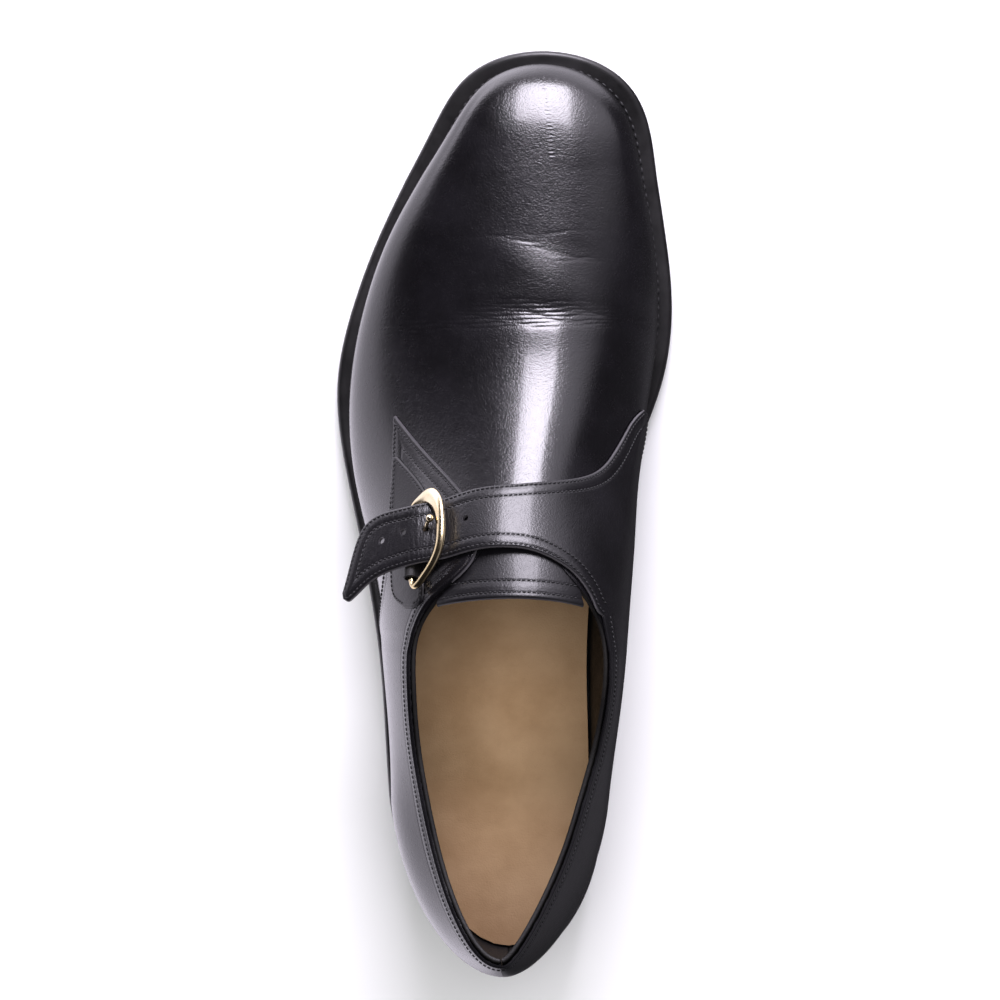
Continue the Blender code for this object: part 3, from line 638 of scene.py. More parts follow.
class Finish:
    """A material and the nodes that make it."""

    def __init__(self, name, world=None):
        self.material = world or bpy.data.materials.new(name)
        self.material.use_nodes = True
        self.tree = self.material.node_tree
        self.shader = self.tree.nodes["Background" if world else "Principled BSDF"]

    def node(self, kind, settings=None, sockets=None, out=0):
        """Adds a node with its settings and sockets, and gives one of its outputs."""
        made = self.tree.nodes.new(kind)
        for key, value in (settings or {}).items():
            setattr(made, key, value)
        for key, value in (sockets or {}).items():
            self.feed(made.inputs[key], value)
        return Field(self, made.outputs[out])

    def feed(self, socket, value):
        """Links a field to a socket, or sets the socket to a value."""
        if isinstance(value, Field):
            self.tree.links.new(value.socket, socket)
        else:
            socket.default_value = value

    def coordinates(self):
        """Object coordinates, in metres."""
        return self.node("ShaderNodeTexCoord", out="Object")

    def axes(self, place, unit_size=MM):
        """The x, y and z of a position, in millimetres or another unit."""
        return [self.node("ShaderNodeSeparateXYZ", None, {0: place}, out=axis) / unit_size
                for axis in "XYZ"]

    def stretch(self, place, factors):
        """A position scaled by a factor along each axis."""
        return self.node("ShaderNodeVectorMath", {"operation": "MULTIPLY"}, {0: place, 1: factors})

    def attribute(self, name):
        """A number that mark stored on the piece."""
        return self.node("ShaderNodeAttribute", {"attribute_name": name}, out="Fac")

    def noise(self, place, scale, detail=2.0, rough=0.5):
        """A noise between 0 and 1."""
        return self.node("ShaderNodeTexNoise", None,
                         {"Vector": place, "Scale": scale, "Detail": detail, "Roughness": rough})

    def mix(self, factor, low, high):
        """A colour between two others."""
        return self.node("ShaderNodeMix", {"data_type": "RGBA"},
                         {"Factor": factor, 6: low, 7: high}, out=2)

    def mottle(self, place, scale, dark, light, high=0.75, detail=4.0, rough=0.6):
        """A cloudy mix of two colours."""
        cloud = self.noise(place, scale, detail, rough).ramp(0.3, high)
        return self.mix(cloud, dark + (1,), light + (1,))

    def set(self, **values):
        """Feeds sockets of the shader, named in lower case with underscores."""
        for name, value in values.items():
            socket = name.replace("_", " ").title().replace("Ior", "IOR")
            self.feed(self.shader.inputs[socket], value)

    def relief(self, height):
        """Bump from a height in millimetres."""
        bump = self.node("ShaderNodeBump", None, {"Height": height, "Strength": 1.0, "Distance": MM})
        self.feed(self.shader.inputs["Normal"], bump)


def leather_grain(finish, place):
    """Fine calf grain over a soft unevenness."""
    fine = finish.noise(place, 2000.0, 0.0)
    pebble = finish.noise(place, 1150.0, 1.0, 0.5)
    broad = finish.noise(place, 200.0, 3.0, 0.55)
    return fine * 0.050 + pebble * 0.042 + broad * 0.04


def strap_wrinkles(finish, place):
    """Relief of the strap where it is bent at the buckle: short wrinkles that run along the shoe."""
    across = -finish.axes(place)[0]
    ripple = finish.noise(finish.stretch(place, (1.0, 0.22, 0.22)), 900.0, 2.0) - 0.5
    return ripple * (across.ramp(6.0, 15.0) * across.ramp(46.0, 38.0)) * 0.22


TICK_PITCH = 1.33
TICK_X = 16.9
TICK_BEND = 0.0042      # how the line of ticks bends away, by the square of the distance
TICK_START = 111.5


def toe_ticks(finish, place):
    """Relief of a row of fine cross creases that runs lengthwise over the toe."""
    x, y = finish.axes(place)[:2]
    forward = y - TICK_START
    ticks = (y * (2 * math.pi / TICK_PITCH)).math("SINE")
    near = (x + forward * forward * TICK_BEND).trough(TICK_X, 0.8)
    uneven = 0.25 + finish.noise(place, 330.0, 2.0).ramp(0.35, 0.65)
    return ticks * near * uneven * y.ramp(110.5, 114.0) * y.ramp(139.0, 137.0) * 0.030


CALF_ROUGH = 0.21
CALF_COAT = 0.4         # wax on polished calf, less of it on rougher leather
ROW_SINK = 0.14         # depth of the groove along a row of stitches
ROW_SWELL = 0.10        # height of the leather between two rows


def black_calf(name, rows=(), extra=None, rough=CALF_ROUGH):
    """Polished black calf. Rows are distances from the edge where a stitch row sinks in.

    The attribute cut is the distance from the cut edges. Near them a lighter rim is painted:
    partly the paler cut leather, partly a painted highlight of the rounded edge.
    Extra is a function that gives more relief.
    """
    finish = Finish(name)
    place = finish.coordinates()
    height = leather_grain(finish, place)
    colour = finish.mottle(place, 38.0, (0.0028, 0.0025, 0.0032), (0.0066, 0.0060, 0.0076))
    if rows:
        edge = finish.attribute("edge")
        for distance in rows:
            height = height - edge.trough(distance, 0.42) * ROW_SINK
        height = height + edge.trough((rows[0] + rows[-1]) / 2, 1.0) * ROW_SWELL
        # Painted highlight: the rim along the cut edges is lighter, partly as paler cut leather,
        # partly in place of light caught by the rounded edge.
        painted_rim_edge = 1 - finish.attribute("cut").ramp(0.08, 0.36)
        rim = painted_rim_edge * (0.35 + finish.noise(place, 130.0, 2.0) * 0.65)
        colour = finish.mix(rim, colour, (0.095, 0.088, 0.098, 1))
    if extra:
        height = height + extra(finish, place)
    finish.set(base_color=colour, roughness=rough + finish.noise(place, 420.0, 3.0) * 0.10,
               coat_weight=CALF_COAT - (rough - CALF_ROUGH) * 2, coat_roughness=0.12, ior=1.5)
    finish.relief(height)
    return finish.material


def black_lining(name):
    """Matt black leather."""
    finish = Finish(name)
    place = finish.coordinates()
    colour = finish.mottle(place, 55.0, (0.005, 0.0045, 0.0045), (0.012, 0.011, 0.0105), 0.7)
    finish.set(base_color=colour, roughness=0.52 + finish.noise(place, 300.0, 3.0) * 0.2)
    finish.relief(leather_grain(finish, place) * 1.4)
    return finish.material


def tan_sock():
    """Natural tan leather, a little uneven in colour."""
    finish = Finish("tan_sock")
    place = finish.coordinates()
    colour = finish.mottle(place, 30.0, (0.34, 0.20, 0.10), (0.47, 0.30, 0.17), 0.72, 5.0, 0.62)
    finish.set(base_color=colour, roughness=0.55 + finish.noise(place, 240.0, 3.0) * 0.2)
    finish.relief(leather_grain(finish, place) * 1.5)
    return finish.material


def sole_edge(name, layers=()):
    """Black edge dressing over cut leather, with faint lines along the layers."""
    finish = Finish(name)
    place = finish.coordinates()
    z = finish.axes(place)[2]
    height = finish.noise(finish.stretch(place, (1.0, 1.0, 6.0)), 420.0, 4.0, 0.6) * 0.05
    for line in layers:
        height = height - z.trough(line, 0.22) * 0.06
    colour = finish.mottle(place, 60.0, (0.004, 0.0037, 0.004), (0.013, 0.012, 0.013))
    finish.set(base_color=colour, roughness=0.34 + finish.noise(place, 350.0, 3.0) * 0.22,
               coat_weight=0.2, coat_roughness=0.22)
    finish.relief(height)
    return finish.material


def black_thread():
    """Waxed black thread with a little fuzz."""
    finish = Finish("black_thread")
    place = finish.coordinates()
    fuzz = finish.noise(place, 2400.0, 3.0, 0.6)
    colour = finish.mix(fuzz.ramp(0.3, 0.7), (0.006, 0.006, 0.007, 1), (0.020, 0.019, 0.021, 1))
    finish.set(base_color=colour, roughness=0.48 + fuzz * 0.2)
    finish.relief(fuzz * 0.05)
    return finish.material


def pale_gold():
    """Polished pale gold plate with faint handling marks."""
    finish = Finish("pale_gold")
    place = finish.coordinates()
    rubbed = finish.noise(place, 900.0, 3.0, 0.6)
    colour = finish.mottle(place, 120.0, (0.82, 0.66, 0.38), (0.93, 0.82, 0.58))
    finish.set(base_color=colour, metallic=1.0, roughness=0.15 + rubbed * 0.12)
    finish.relief(rubbed * 0.012)
    return finish.material


# Soft creases of the vamp, placed one by one. Each wanders and fades in a way of its own.
# Columns: x, y, half_length, slant, width, depth.
FLEX_CREASES = np.array((
    (3.0, 57.8, 32.0, 0.012, 0.40, 0.09),
    (4.0, 59.0, 34.0, 0.004, 0.38, 0.12),
    (8.0, 60.2, 29.0, -0.010, 0.36, 0.13),
    (11.0, 61.5, 26.0, -0.004, 0.38, 0.13),
    (13.0, 62.7, 23.0, -0.014, 0.36, 0.13),
    (14.0, 63.9, 21.0, -0.022, 0.36, 0.12),
    (15.0, 65.1, 19.0, -0.030, 0.36, 0.10),
    (17.0, 66.3, 16.0, -0.040, 0.36, 0.08),
    (1.0, 87.4, 10.0, -0.030, 0.40, 0.06),
    (7.0, 86.2, 10.0, -0.160, 0.40, 0.05),
    (11.0, 84.9, 11.0, -0.240, 0.40, 0.05),
    (15.0, 83.2, 10.0, -0.270, 0.40, 0.045),
    (18.0, 82.0, 9.0, -0.250, 0.40, 0.04),
    (27.0, 80.6, 12.0, -0.050, 0.40, 0.06),
    (28.0, 79.3, 9.0, -0.040, 0.40, 0.045),
    (21.0, 88.8, 8.0, 0.075, 0.40, 0.06),
    (-13.0, 40.0, 7.0, 0.300, 0.50, 0.08),
    (-11.0, 38.6, 7.0, 0.320, 0.50, 0.07),
    (-15.0, 41.5, 6.0, 0.300, 0.45, 0.07)))

# Broad hollows and swells that go with the creases. Columns: x, y, x_size, y_size, slant, height.
FLEX_SWELLS = np.array((
    (14.0, 62.6, 27.0, 4.4, 0.0, -0.42),
    (12.5, 76.5, 18.0, 8.0, -0.42, 0.36),
    (9.0, 87.0, 13.0, 4.0, -0.22, -0.10),
    (27.0, 82.0, 11.0, 4.0, -0.05, -0.08)))


def flex(points):
    """Height of the vamp's creases and swells at points of the vamp."""
    x = points[..., 0]
    y = points[..., 1]
    height = np.zeros(x.shape)
    for number, (mid_x, mid_y, half, slant, width, depth) in enumerate(FLEX_CREASES):
        wander = 0.26 * np.sin(x * 0.31 + 1.7 * number) + 0.14 * np.sin(x * 0.93 + 2.9 * number)
        line = mid_y + slant * (x - mid_x) + wander
        uneven = 0.72 + 0.28 * np.sin(x * 0.57 + 2.3 * number)
        fade = uneven * np.exp(-((x - mid_x) / half) ** 2)
        height -= depth * fade * np.exp(-((y - line) / width) ** 2)
    for mid_x, mid_y, x_size, y_size, slant, swell in FLEX_SWELLS:
        line = mid_y + slant * (x - mid_x)
        height += swell * np.exp(-((x - mid_x) / x_size) ** 2 - ((y - line) / y_size) ** 2)
    return height


def throat_lines(stations):
    """Places of the collar's two edges, run on over the vamp to the toe."""
    collar = COLLAR_AT(np.minimum(stations, THROAT))
    onward = smooth_step((stations - THROAT) / (TOE_CAP - THROAT))
    lateral = collar[:, 1] + (VAMP_SPLIT - collar[:, 1]) * onward
    medial = collar[:, 2] + (1 - VAMP_SPLIT - collar[:, 2]) * onward
    return lateral, medial


def upper_bands(stations, side, middle=None):
    """Grids of station and place on both sides of the throat lines, and between them if asked."""
    lateral, medial = throat_lines(stations)
    low = np.zeros(len(stations))
    spans = [(low, lateral, side), (medial, low + 1, side)]
    if middle is not None:
        spans.append((lateral, medial, middle))
    for start, end, parts in spans:
        g = np.repeat(stations[:, None], len(parts), axis=1)
        yield g, start[:, None] + (end - start)[:, None] * parts


def make_vamp():
    """The vamp: full width in front of the throat, with two wings that run back under the quarters."""
    # The stations lie closest together where the vamp is creased.
    front = np.concatenate((
        np.linspace(THROAT, 50, 46), np.linspace(50, 68, 73)[1:], np.linspace(68, 77, 10)[1:],
        np.linspace(77, 92, 46)[1:], np.linspace(92, TOE_CAP, 19)[1:],
        TOE_CAP + TOE_DEPTH * even_turns(34)[1:]))
    back = np.linspace(-70, THROAT, 60)
    side = np.linspace(0, 1, 61)
    grids = [*upper_bands(back, side), *upper_bands(front, side, np.linspace(0, 1, 16))]
    pieces = [grid_piece("vamp", skin(g, v, flex(skin(g, v, 0.0)))) for g, v in grids]
    vamp = join("vamp", pieces)
    smooth(vamp, 80)
    return dress(vamp, black_calf("vamp_calf", extra=toe_ticks), "upper_leather", "upper")


def make_lining():
    """The inside of the upper, from the sock up to the rim of the collar."""
    back = np.concatenate((HEEL_CAP - HEEL_DEPTH * even_turns(26)[::-1][:-1],
                           np.linspace(HEEL_CAP, THROAT, 64)))
    front = np.concatenate((np.linspace(THROAT, TOE_CAP, 50)[:-1],
                            TOE_CAP + TOE_DEPTH * even_turns(16)))
    side = np.linspace(0, 1, 36)
    pieces = []
    for g, v in upper_bands(back, side):
        piece = grid_piece("lining", skin(g, v, -WALL)[:, ::-1])
        thicken(piece, 1.5)
        round_edges(piece, 0.6)
        pieces.append(piece)
    for g, v in upper_bands(front, side, np.linspace(0, 1, 10)):
        pieces.append(grid_piece("lining", skin(g, v, -WALL)[:, ::-1]))
    lining = join("lining", pieces)
    smooth(lining, 60)
    return dress(lining, black_lining("collar_lining"), "upper_leather")


REAR_STATIONS = np.concatenate((HEEL_CAP - HEEL_DEPTH * even_turns(34)[::-1][:-1],
                                np.linspace(HEEL_CAP, QUARTER_TURN - 1, 44)))
REAR_ROWS = len(REAR_STATIONS)
FRONT_ROWS = edged_rows(70)


def quarter_grid(front, side, lift):
    """Points of a quarter, rows from the heel to its front tip, columns from seam to upper edge."""
    foot = 0.0 if side == "lateral" else 1.0
    collar = throat_lines(REAR_STATIONS)[0 if side == "lateral" else 1]
    lines = [(g, foot, g, v) for g, v in zip(REAR_STATIONS, collar)]
    for seam_y, seam_z, edge_y, edge_x in finer(front, FRONT_ROWS):
        seam = place_at_height(seam_y, seam_z, side)
        lines.append((seam_y, seam, edge_y, place_at_width(edge_y, edge_x)))
    lines = np.array(lines)
    ends = skin(lines[:, 0::2], lines[:, 1::2], 0.0)
    lengths = np.linalg.norm(ends[:, 1] - ends[:, 0], axis=1)
    parts = np.array([edged_parts(length, 40) for length in lengths])
    g = lines[:, 0][:, None] + (lines[:, 2] - lines[:, 0])[:, None] * parts
    v = lines[:, 1][:, None] + (lines[:, 3] - lines[:, 1])[:, None] * parts
    return skin(g, v, lift)


def make_lateral_quarter():
    """The outer side panel, with its edges rolled down to the vamp."""
    points = quarter_grid(LATERAL_FRONT, "lateral", PANEL_LIFT)
    seam = points[REAR_ROWS:, 0]
    distance = edge_distance(points, (seam, points[:, -1], points[-1]))
    # The cut edge in front of the collar gets the painted rim highlight, the folded edge behind it
    # none.
    painted_rim_edge = points[points[:, -1, 1] > COLLAR_FRONT, -1]
    piece = grid_piece("lateral_quarter_calf", soften(points, distance, 0.8, PANEL_LIFT))
    mark(piece, "edge", distance)
    mark(piece, "cut", edge_distance(points, (seam, painted_rim_edge, points[-1])))
    smooth(piece, 75)
    dress(piece, black_calf("lateral_calf", rows=(1.4, 4.8)), "upper_leather", "lateral_quarter")
    return points, distance


def under_plan(x, y, height):
    """Points at a height over the last that are seen from above at plan positions."""
    base_x = np.array(x, float)
    base_y = np.array(y, float)
    for _ in range(3):
        point, normal = last_at_plan(base_x, base_y)
        base_x = x - normal[:, 0] * height
        base_y = y - normal[:, 1] * height
    point, normal = last_at_plan(base_x, base_y)
    return point + normal * height


def across_strap(row, across):
    """Plan positions across the strap, from the rear to the front edge of a row of its table."""
    rear_x, rear_y, front_x, front_y = row[:4]
    return rear_x + (front_x - rear_x) * across, rear_y + (front_y - rear_y) * across


def strap_grid(root, across, rows):
    """Top face of the strap, rows from its root on the quarter to the tip of its tail."""
    keys = [root]
    for row in finer(STRAP, 15)[1:]:
        keys.append(under_plan(*across_strap(row, across), row[4]))
    bar_point, bar_up = last_at_plan(*across_strap(TAIL[0], across))
    bar_point = bar_point + bar_up * (BAR_LIFT + STRAP_THICK)
    for row in finer(TAIL, 9):
        x, y = across_strap(row, across)
        out = bar_point[:, 0] - x
        z = bar_point[:, 2] - TAIL_DROP * out - TAIL_CURL * out ** 2
        z -= TAIL_LEAN * (y - bar_point[:, 1])
        keys.append(np.stack((x, y, z), axis=1))
    keys = np.array(keys)
    walked = walk(keys[:, len(root) // 2])
    spots = edged_rows(rows) * walked[-1]
    return spline(walked, keys.reshape(len(keys), -1))(spots).reshape(len(spots), len(root), 3)


STRAP_HOLES = ((-8.9, -3.6), (-21.4, -7.2), (-28.6, -8.0), (-35.4, -10.9))


def make_medial_quarter():
    """The medial quarter and its strap, with the holes punched in the strap."""
    side = quarter_grid(MEDIAL_FRONT, "medial", PANEL_LIFT)
    root = side[REAR_ROWS:, -1]
    length = walk(root)[-1]
    across = edged_parts(length, 36)
    root = line_at(root, across * length)
    strap = strap_grid(root, across, 190)
    cuts = (side[REAR_ROWS:, 0], side[-1], strap[:, 0], strap[:, -1], strap[-1])
    edges = cuts + (side[:REAR_ROWS + 1, -1],)
    pieces = []
    sheets = []
    for points in (side[:, ::-1], strap):
        distance = edge_distance(points, edges)
        piece = grid_piece("strap_calf", soften(points, distance, STRAP_ROLL))
        # The cut edges get the painted rim highlight; the collar's folded edge does not.
        cut = edge_distance(points, cuts)
        mark(piece, "edge", distance)
        mark(piece, "cut", cut)
        pieces.append(piece)
        sheets.append((points, distance))
    back = grid_piece("strap_back", underside(strap, distance, STRAP_ROLL, STRAP_THICK)[:, ::-1])
    mark(back, "edge", distance[:, ::-1])
    mark(back, "cut", cut[:, ::-1])
    band_piece = join("strap_band", (pieces[1], back))
    punch(band_piece, strap)
    piece = join("medial_quarter_strap_calf", (pieces[0], band_piece))
    smooth(piece, 75)
    calf = black_calf("strap_calf", rows=STRAP_ROWS, extra=strap_wrinkles, rough=0.31)
    dress(piece, calf, "upper_leather", "medial_quarter_strap")
    return sheets


def over_plan(points, x, y):
    """Point and normal of a sheet at a plan position."""
    flat = points.reshape(-1, 3)
    near = np.argmin((flat[:, 0] - x) ** 2 + (flat[:, 1] - y) ** 2)
    return flat[near], grid_normals(points).reshape(-1, 3)[near]


def punch(piece, strap):
    """Cuts the buckle holes through the strap."""
    cutters = []
    for x, y in STRAP_HOLES:
        spot, up = over_plan(strap, x, y)
        turn = Vector(up).to_track_quat("Z", "Y").to_euler()
        bpy.ops.object.select_all(action="DESELECT")
        bpy.ops.mesh.primitive_cylinder_add(vertices=16, radius=1.05 * MM, depth=5 * MM,
                                            location=spot * MM, rotation=turn)
        bpy.ops.object.transform_apply(location=True, rotation=True, scale=True)
        cutters.append(bpy.context.object)
    cutter = join("strap_punch", cutters)
    only(piece)
    hole = piece.modifiers.new("hole", "BOOLEAN")
    hole.operation = "DIFFERENCE"
    hole.object = cutter
    bpy.ops.object.modifier_apply(modifier=hole.name)
    bpy.data.objects.remove(cutter, do_unlink=True)


def make_tab():
    """The leather tab under the buckle."""
    ends = edged_parts(52.0, 44)
    rows = finer(TAB, ends)
    parts = edged_parts(12.0, 12)
    y = np.repeat(rows[:, :1], len(parts), axis=1)
    x = rows[:, 1:2] + (rows[:, 2:3] - rows[:, 1:2]) * parts[None, :]
    v = np.array([[place_at_width(b, a) for a, b in zip(*row)] for row in zip(x, y)])
    points = skin(y, v, PANEL_LIFT + 0.8)
    distance = edge_distance(points, (points[:, 0], points[:, -1], points[0], points[-1]))
    piece = grid_piece("buckle_tab_calf", soften(points, distance, 0.8))
    mark(piece, "edge", distance)
    # Its cut distance starts past the rim, so the tab gets no painted rim highlight.
    mark(piece, "cut", distance + 1.0)
    smooth(piece, 75)
    dress(piece, black_calf("tab_calf", rows=TAB_ROWS, rough=0.36), "upper_leather", "buckle_tab")
    return points, distance


def make_tongue():
    """The tongue, with a rear edge that is hollowed in the middle."""
    along = edged_parts(37.5, 44)[:, None]
    parts = np.linspace(0, 1, 60)[None, :]
    rear = TONGUE_REAR - TONGUE_HOLLOW * (2 * parts - 1) ** 2
    g = rear + (TONGUE_FRONT - rear) * along
    start = np.interp(along, (0, 1), TONGUE_LATERAL)
    end = np.interp(along, (0, 1), TONGUE_MEDIAL)
    v = start + (end - start) * parts
    points = skin(g, v, -0.4)
    distance = edge_distance(points, (points[0],))
    piece = grid_piece("tongue_calf", soften(points, distance, 1.0))
    mark(piece, "edge", distance)
    # Only the rear edge gets the painted rim highlight.
    mark(piece, "cut", distance)
    thicken(piece, 1.6)
    smooth(piece, 75)
    dress(piece, black_calf("tongue_calf", rows=TONGUE_ROWS, rough=0.35), "upper_leather", "tongue")
    return points, distance


# The sole's stations, closer together round the heel and the toe.
SOLE_STATIONS = np.concatenate((
    HEEL_CAP - HEEL_DEPTH * even_turns(36)[::-1][:-1], np.linspace(HEEL_CAP, TOE_CAP, 104)[:-1],
    TOE_CAP + TOE_DEPTH * even_turns(36)))


def outline(kind):
    """Closed plan outline of a level, round from the heel by the lateral side to the toe."""
    lateral = level(SOLE_STATIONS, kind + "_lat")
    medial = level(SOLE_STATIONS, kind + "_med")
    return np.concatenate((lateral, medial[-2:0:-1]))


def inset(loop, distance):
    """A closed plan outline moved inwards."""
    along = np.roll(loop, -1, axis=0) - np.roll(loop, 1, axis=0)
    inward = np.stack((along[:, 1], -along[:, 0]), axis=1)
    moved = loop.copy()
    moved[:, :2] += unit(inward) * distance
    return moved


def at_height(loop, height):
    """An outline laid on the sole's curve, raised by a height."""
    laid = loop.copy()
    laid[:, 2] = sole_bottom(loop[:, 1]) + height
    return laid


def swept(name, loops):
    """A surface through closed loops of points, as a grid whose first and last columns meet."""
    rows = np.array(loops)
    closed = np.concatenate((rows, rows[:, :1]), axis=1)
    piece = grid_piece(name, closed)
    weld(piece)
    return piece


def bridged(name, loop):
    """A flat sheet across a closed outline that runs heel, lateral side, toe, medial side."""
    half = len(SOLE_STATIONS)
    lateral = loop[:half]
    medial = np.concatenate((loop[:1], loop[half:][::-1], loop[half - 1:half]))
    parts = np.linspace(0, 1, 9)[None, :, None]
    return grid_piece(name, lateral[:, None, :] + (medial - lateral)[:, None, :] * parts)


# Edges of welt and outsole, from the top down. Columns: inset from the outline, and in this order a
# drop below the welt's top, a rise over the seam under it, a drop below that seam, and a rise over
# the sole's underside.
WELT_ROUND = ((2.3, 0.0), (1.7, 0.07), (1.1, 0.28), (0.6, 0.65), (0.2, 1.2), (0.0, 1.8))
WELT_FOOT = ((0.0, 0.6), (0.1, 0.25), (0.35, 0.0))
OUTSOLE_TOP = ((0.35, 0.1), (0.1, 0.35), (0.0, 0.8))
OUTSOLE_FOOT = ((0.0, 2.6), (0.12, 1.4), (0.45, 0.6), (1.0, 0.15), (1.8, 0.0))


def make_sole():
    """Welt and outsole, both with a rounded and dressed edge."""
    edge = outline("sole")
    wall = inset(outline("foot"), WALL + 0.4)
    seam = OUTSOLE_THICK + 0.05
    top = OUTSOLE_THICK + GAP + WELT_THICK
    loops = [at_height(wall, seam), at_height(wall, top)]
    loops += [at_height(edge + (wall - edge) * share, top) for share in (0.75, 0.5)]
    loops += [at_height(inset(edge, distance), top - drop) for distance, drop in WELT_ROUND]
    loops += [at_height(inset(edge, distance), seam + rise) for distance, rise in WELT_FOOT]
    loops.append(loops[0])
    welt = swept("welt_strip", loops)
    face_out(welt)
    smooth(welt, 60)
    dress(welt, sole_edge("welt_dressing"), "sole_leather", "welt")
    loops = [at_height(inset(edge, distance), seam - drop) for distance, drop in OUTSOLE_TOP]
    loops += [at_height(inset(edge, distance), rise) for distance, rise in OUTSOLE_FOOT]
    pieces = [bridged("outsole_tread", loops[0]), swept("outsole_tread", loops),
              bridged("outsole_tread", loops[-1])]
    outsole = join("outsole_tread", pieces)
    face_out(outsole)
    smooth(outsole, 60)
    dress(outsole, sole_edge("outsole_dressing"), "sole_leather", "outsole")
    return edge, wall, top


HEEL_LAYERS = (5.5, 9.8, 14.1, 18.4)
BREAST_HOLLOW = 2.5
LAYER_GROOVE = 0.07


def make_heel():
    """The stacked heel, tapered to the ground, with its lifts marked round the sides."""
    stations = np.append(SOLE_STATIONS[SOLE_STATIONS < HEEL_BREAST - 1.0], HEEL_BREAST)
    lateral = level(stations, "sole_lat")[::-1]
    medial = level(stations, "sole_med")[1:]
    breast = np.linspace(medial[-1], lateral[0], 16)[1:-1]
    breast[:, 1] -= BREAST_HOLLOW * np.sin(np.linspace(0, math.pi, 16)[1:-1])
    rim = np.concatenate((lateral, medial, breast))
    middle = np.array(((lateral[0, 0] + medial[-1, 0]) / 2, HEEL_BREAST - 30, 0))
    along = np.roll(rim, -1, axis=0) - np.roll(rim, 1, axis=0)
    outward = unit(np.stack((-along[:, 1], along[:, 0], np.zeros(len(rim))), axis=1))
    outward *= np.sign(((rim - middle) * outward).sum(axis=1, keepdims=True))
    heights = [(HEEL_LIFT - 0.1, 0.5), (HEEL_LIFT - 0.5, 0.0)]
    for line in reversed(HEEL_LAYERS):
        heights += [(line + 0.25, 0.0), (line, LAYER_GROOVE), (line - 0.25, 0.0)]
    heights += [(1.2, 0.0), (0.45, 0.25), (0.0, 1.0)]
    loops = []
    for z, sunk in heights:
        shrink = HEEL_TAPER + (1 - HEEL_TAPER) * z / HEEL_LIFT
        loop = middle + (rim - middle) * shrink - outward * sunk
        loop[:, 2] = z
        loops.append(loop)
    piece = swept("heel_block", loops)
    close_ends(piece)
    face_out(piece)
    smooth(piece, 40)
    return dress(piece, sole_edge("heel_dressing", HEEL_LAYERS), "heel_stack", "heel")


def buckle_plane():
    """The tilted plane of the buckle: a height function over the plan, and its unit normal."""
    corners = []
    for (x, y), lift in ((ARC_MIDDLE, ARC_LIFT), (BAR_ENDS[0], BAR_SEAT), (BAR_ENDS[1], BAR_SEAT)):
        point, normal = last_at_plan([x], [y])
        corners.append((x, y, point[0, 2] + lift / normal[0, 2]))
    corners = np.array(corners)
    normal = np.cross(corners[1] - corners[0], corners[2] - corners[0])
    normal /= np.linalg.norm(normal) * np.sign(normal[2])

    def lay(plan):
        plan = np.asarray(plan, float)
        z = corners[0, 2] - ((plan - corners[0, :2]) @ normal[:2]) / normal[2]
        return np.column_stack((plan, z))

    return lay, normal


def rod(name, path, wide, high, across, closed, sides=16):
    """A rounded bar along a path, with a half width and a half height at each point."""
    path = np.asarray(path, float)
    if closed:
        along = np.roll(path, -1, axis=0) - np.roll(path, 1, axis=0)
    else:
        along = np.gradient(path, axis=0)
    along = unit(along)
    side = unit(np.cross(along, across))
    top = np.cross(side, along)
    turns = np.arange(sides) * 2 * math.pi / sides
    rings = []
    for point, s, t, w, h in zip(path, side, top, wide, high):
        rings.append([point + w * math.cos(a) * s + h * math.sin(a) * t for a in turns])
    if closed:
        rings.append(rings[0])
    piece = swept(name, rings)
    if not closed:
        close_ends(piece)
    face_out(piece)
    smooth(piece, 60)
    return piece


def along_bar(lay, normal, start, end):
    """Ends of a stretch of the buckle's bar, its direction and the way up the buckle's plane."""
    ends = lay(((BAR_X, start), (BAR_X, end)))
    along = unit(ends[0] - ends[1])
    upslope = np.cross(along, normal)
    return ends, along, upslope * np.sign(upslope[0])


def make_buckle(strap):
    """The gold frame and its prong, which comes up through a hole of the strap."""
    lay, normal = buckle_plane()
    gold = pale_gold()
    wrap = 4
    loop = np.concatenate((BUCKLE_LOOP[-wrap:], BUCKLE_LOOP, BUCKLE_LOOP[:wrap]))
    count = len(BUCKLE_LOOP)
    dense = spline(np.arange(len(loop)), loop)(wrap + np.arange(0, count, 0.1))
    piece = rod("buckle_frame_gold", lay(dense[:, :2]), dense[:, 2], dense[:, 3], normal, True)
    dress(piece, gold, "buckle_metal", "buckle_frame")

    along, upslope = along_bar(lay, normal, 0.0, -20.0)[1:]
    root = lay([(BAR_X, PRONG_ROOT_Y)])[0]
    turns = np.radians(np.linspace(165, 70, 14))
    hook = [root + PRONG_HOOK * (math.cos(a) * upslope + math.sin(a) * normal) for a in turns]
    tip = lay([PRONG_TIP])[0] + normal * PRONG_REST
    hole, up = over_plan(strap, *STRAP_HOLES[1])
    under = hole - up * 1.4 + (hook[-1] - hole) * 0.15
    over = hole + up * 0.6 + (tip - hole) * 0.2
    keys = np.array((hook[-1], under, over, tip))
    walked = walk(keys)
    shank = spline(walked, keys)(walked[-1] * np.linspace(0.04, 1.0, 44))
    path = np.concatenate((hook, shank))
    half = np.concatenate((np.full(len(path) - len(PRONG_END), PRONG_HALF), PRONG_END))
    piece = rod("buckle_prong_gold", path, half, half, along, False)
    dress(piece, gold, "buckle_metal", "buckle_prong")


KEEPERS = (("buckle_keeper_front", -1.6, -10.4), ("buckle_keeper_rear", -15.4, -22.8))
KEEPER_RADIUS = 1.55
KEEPER_LEG = 3.0


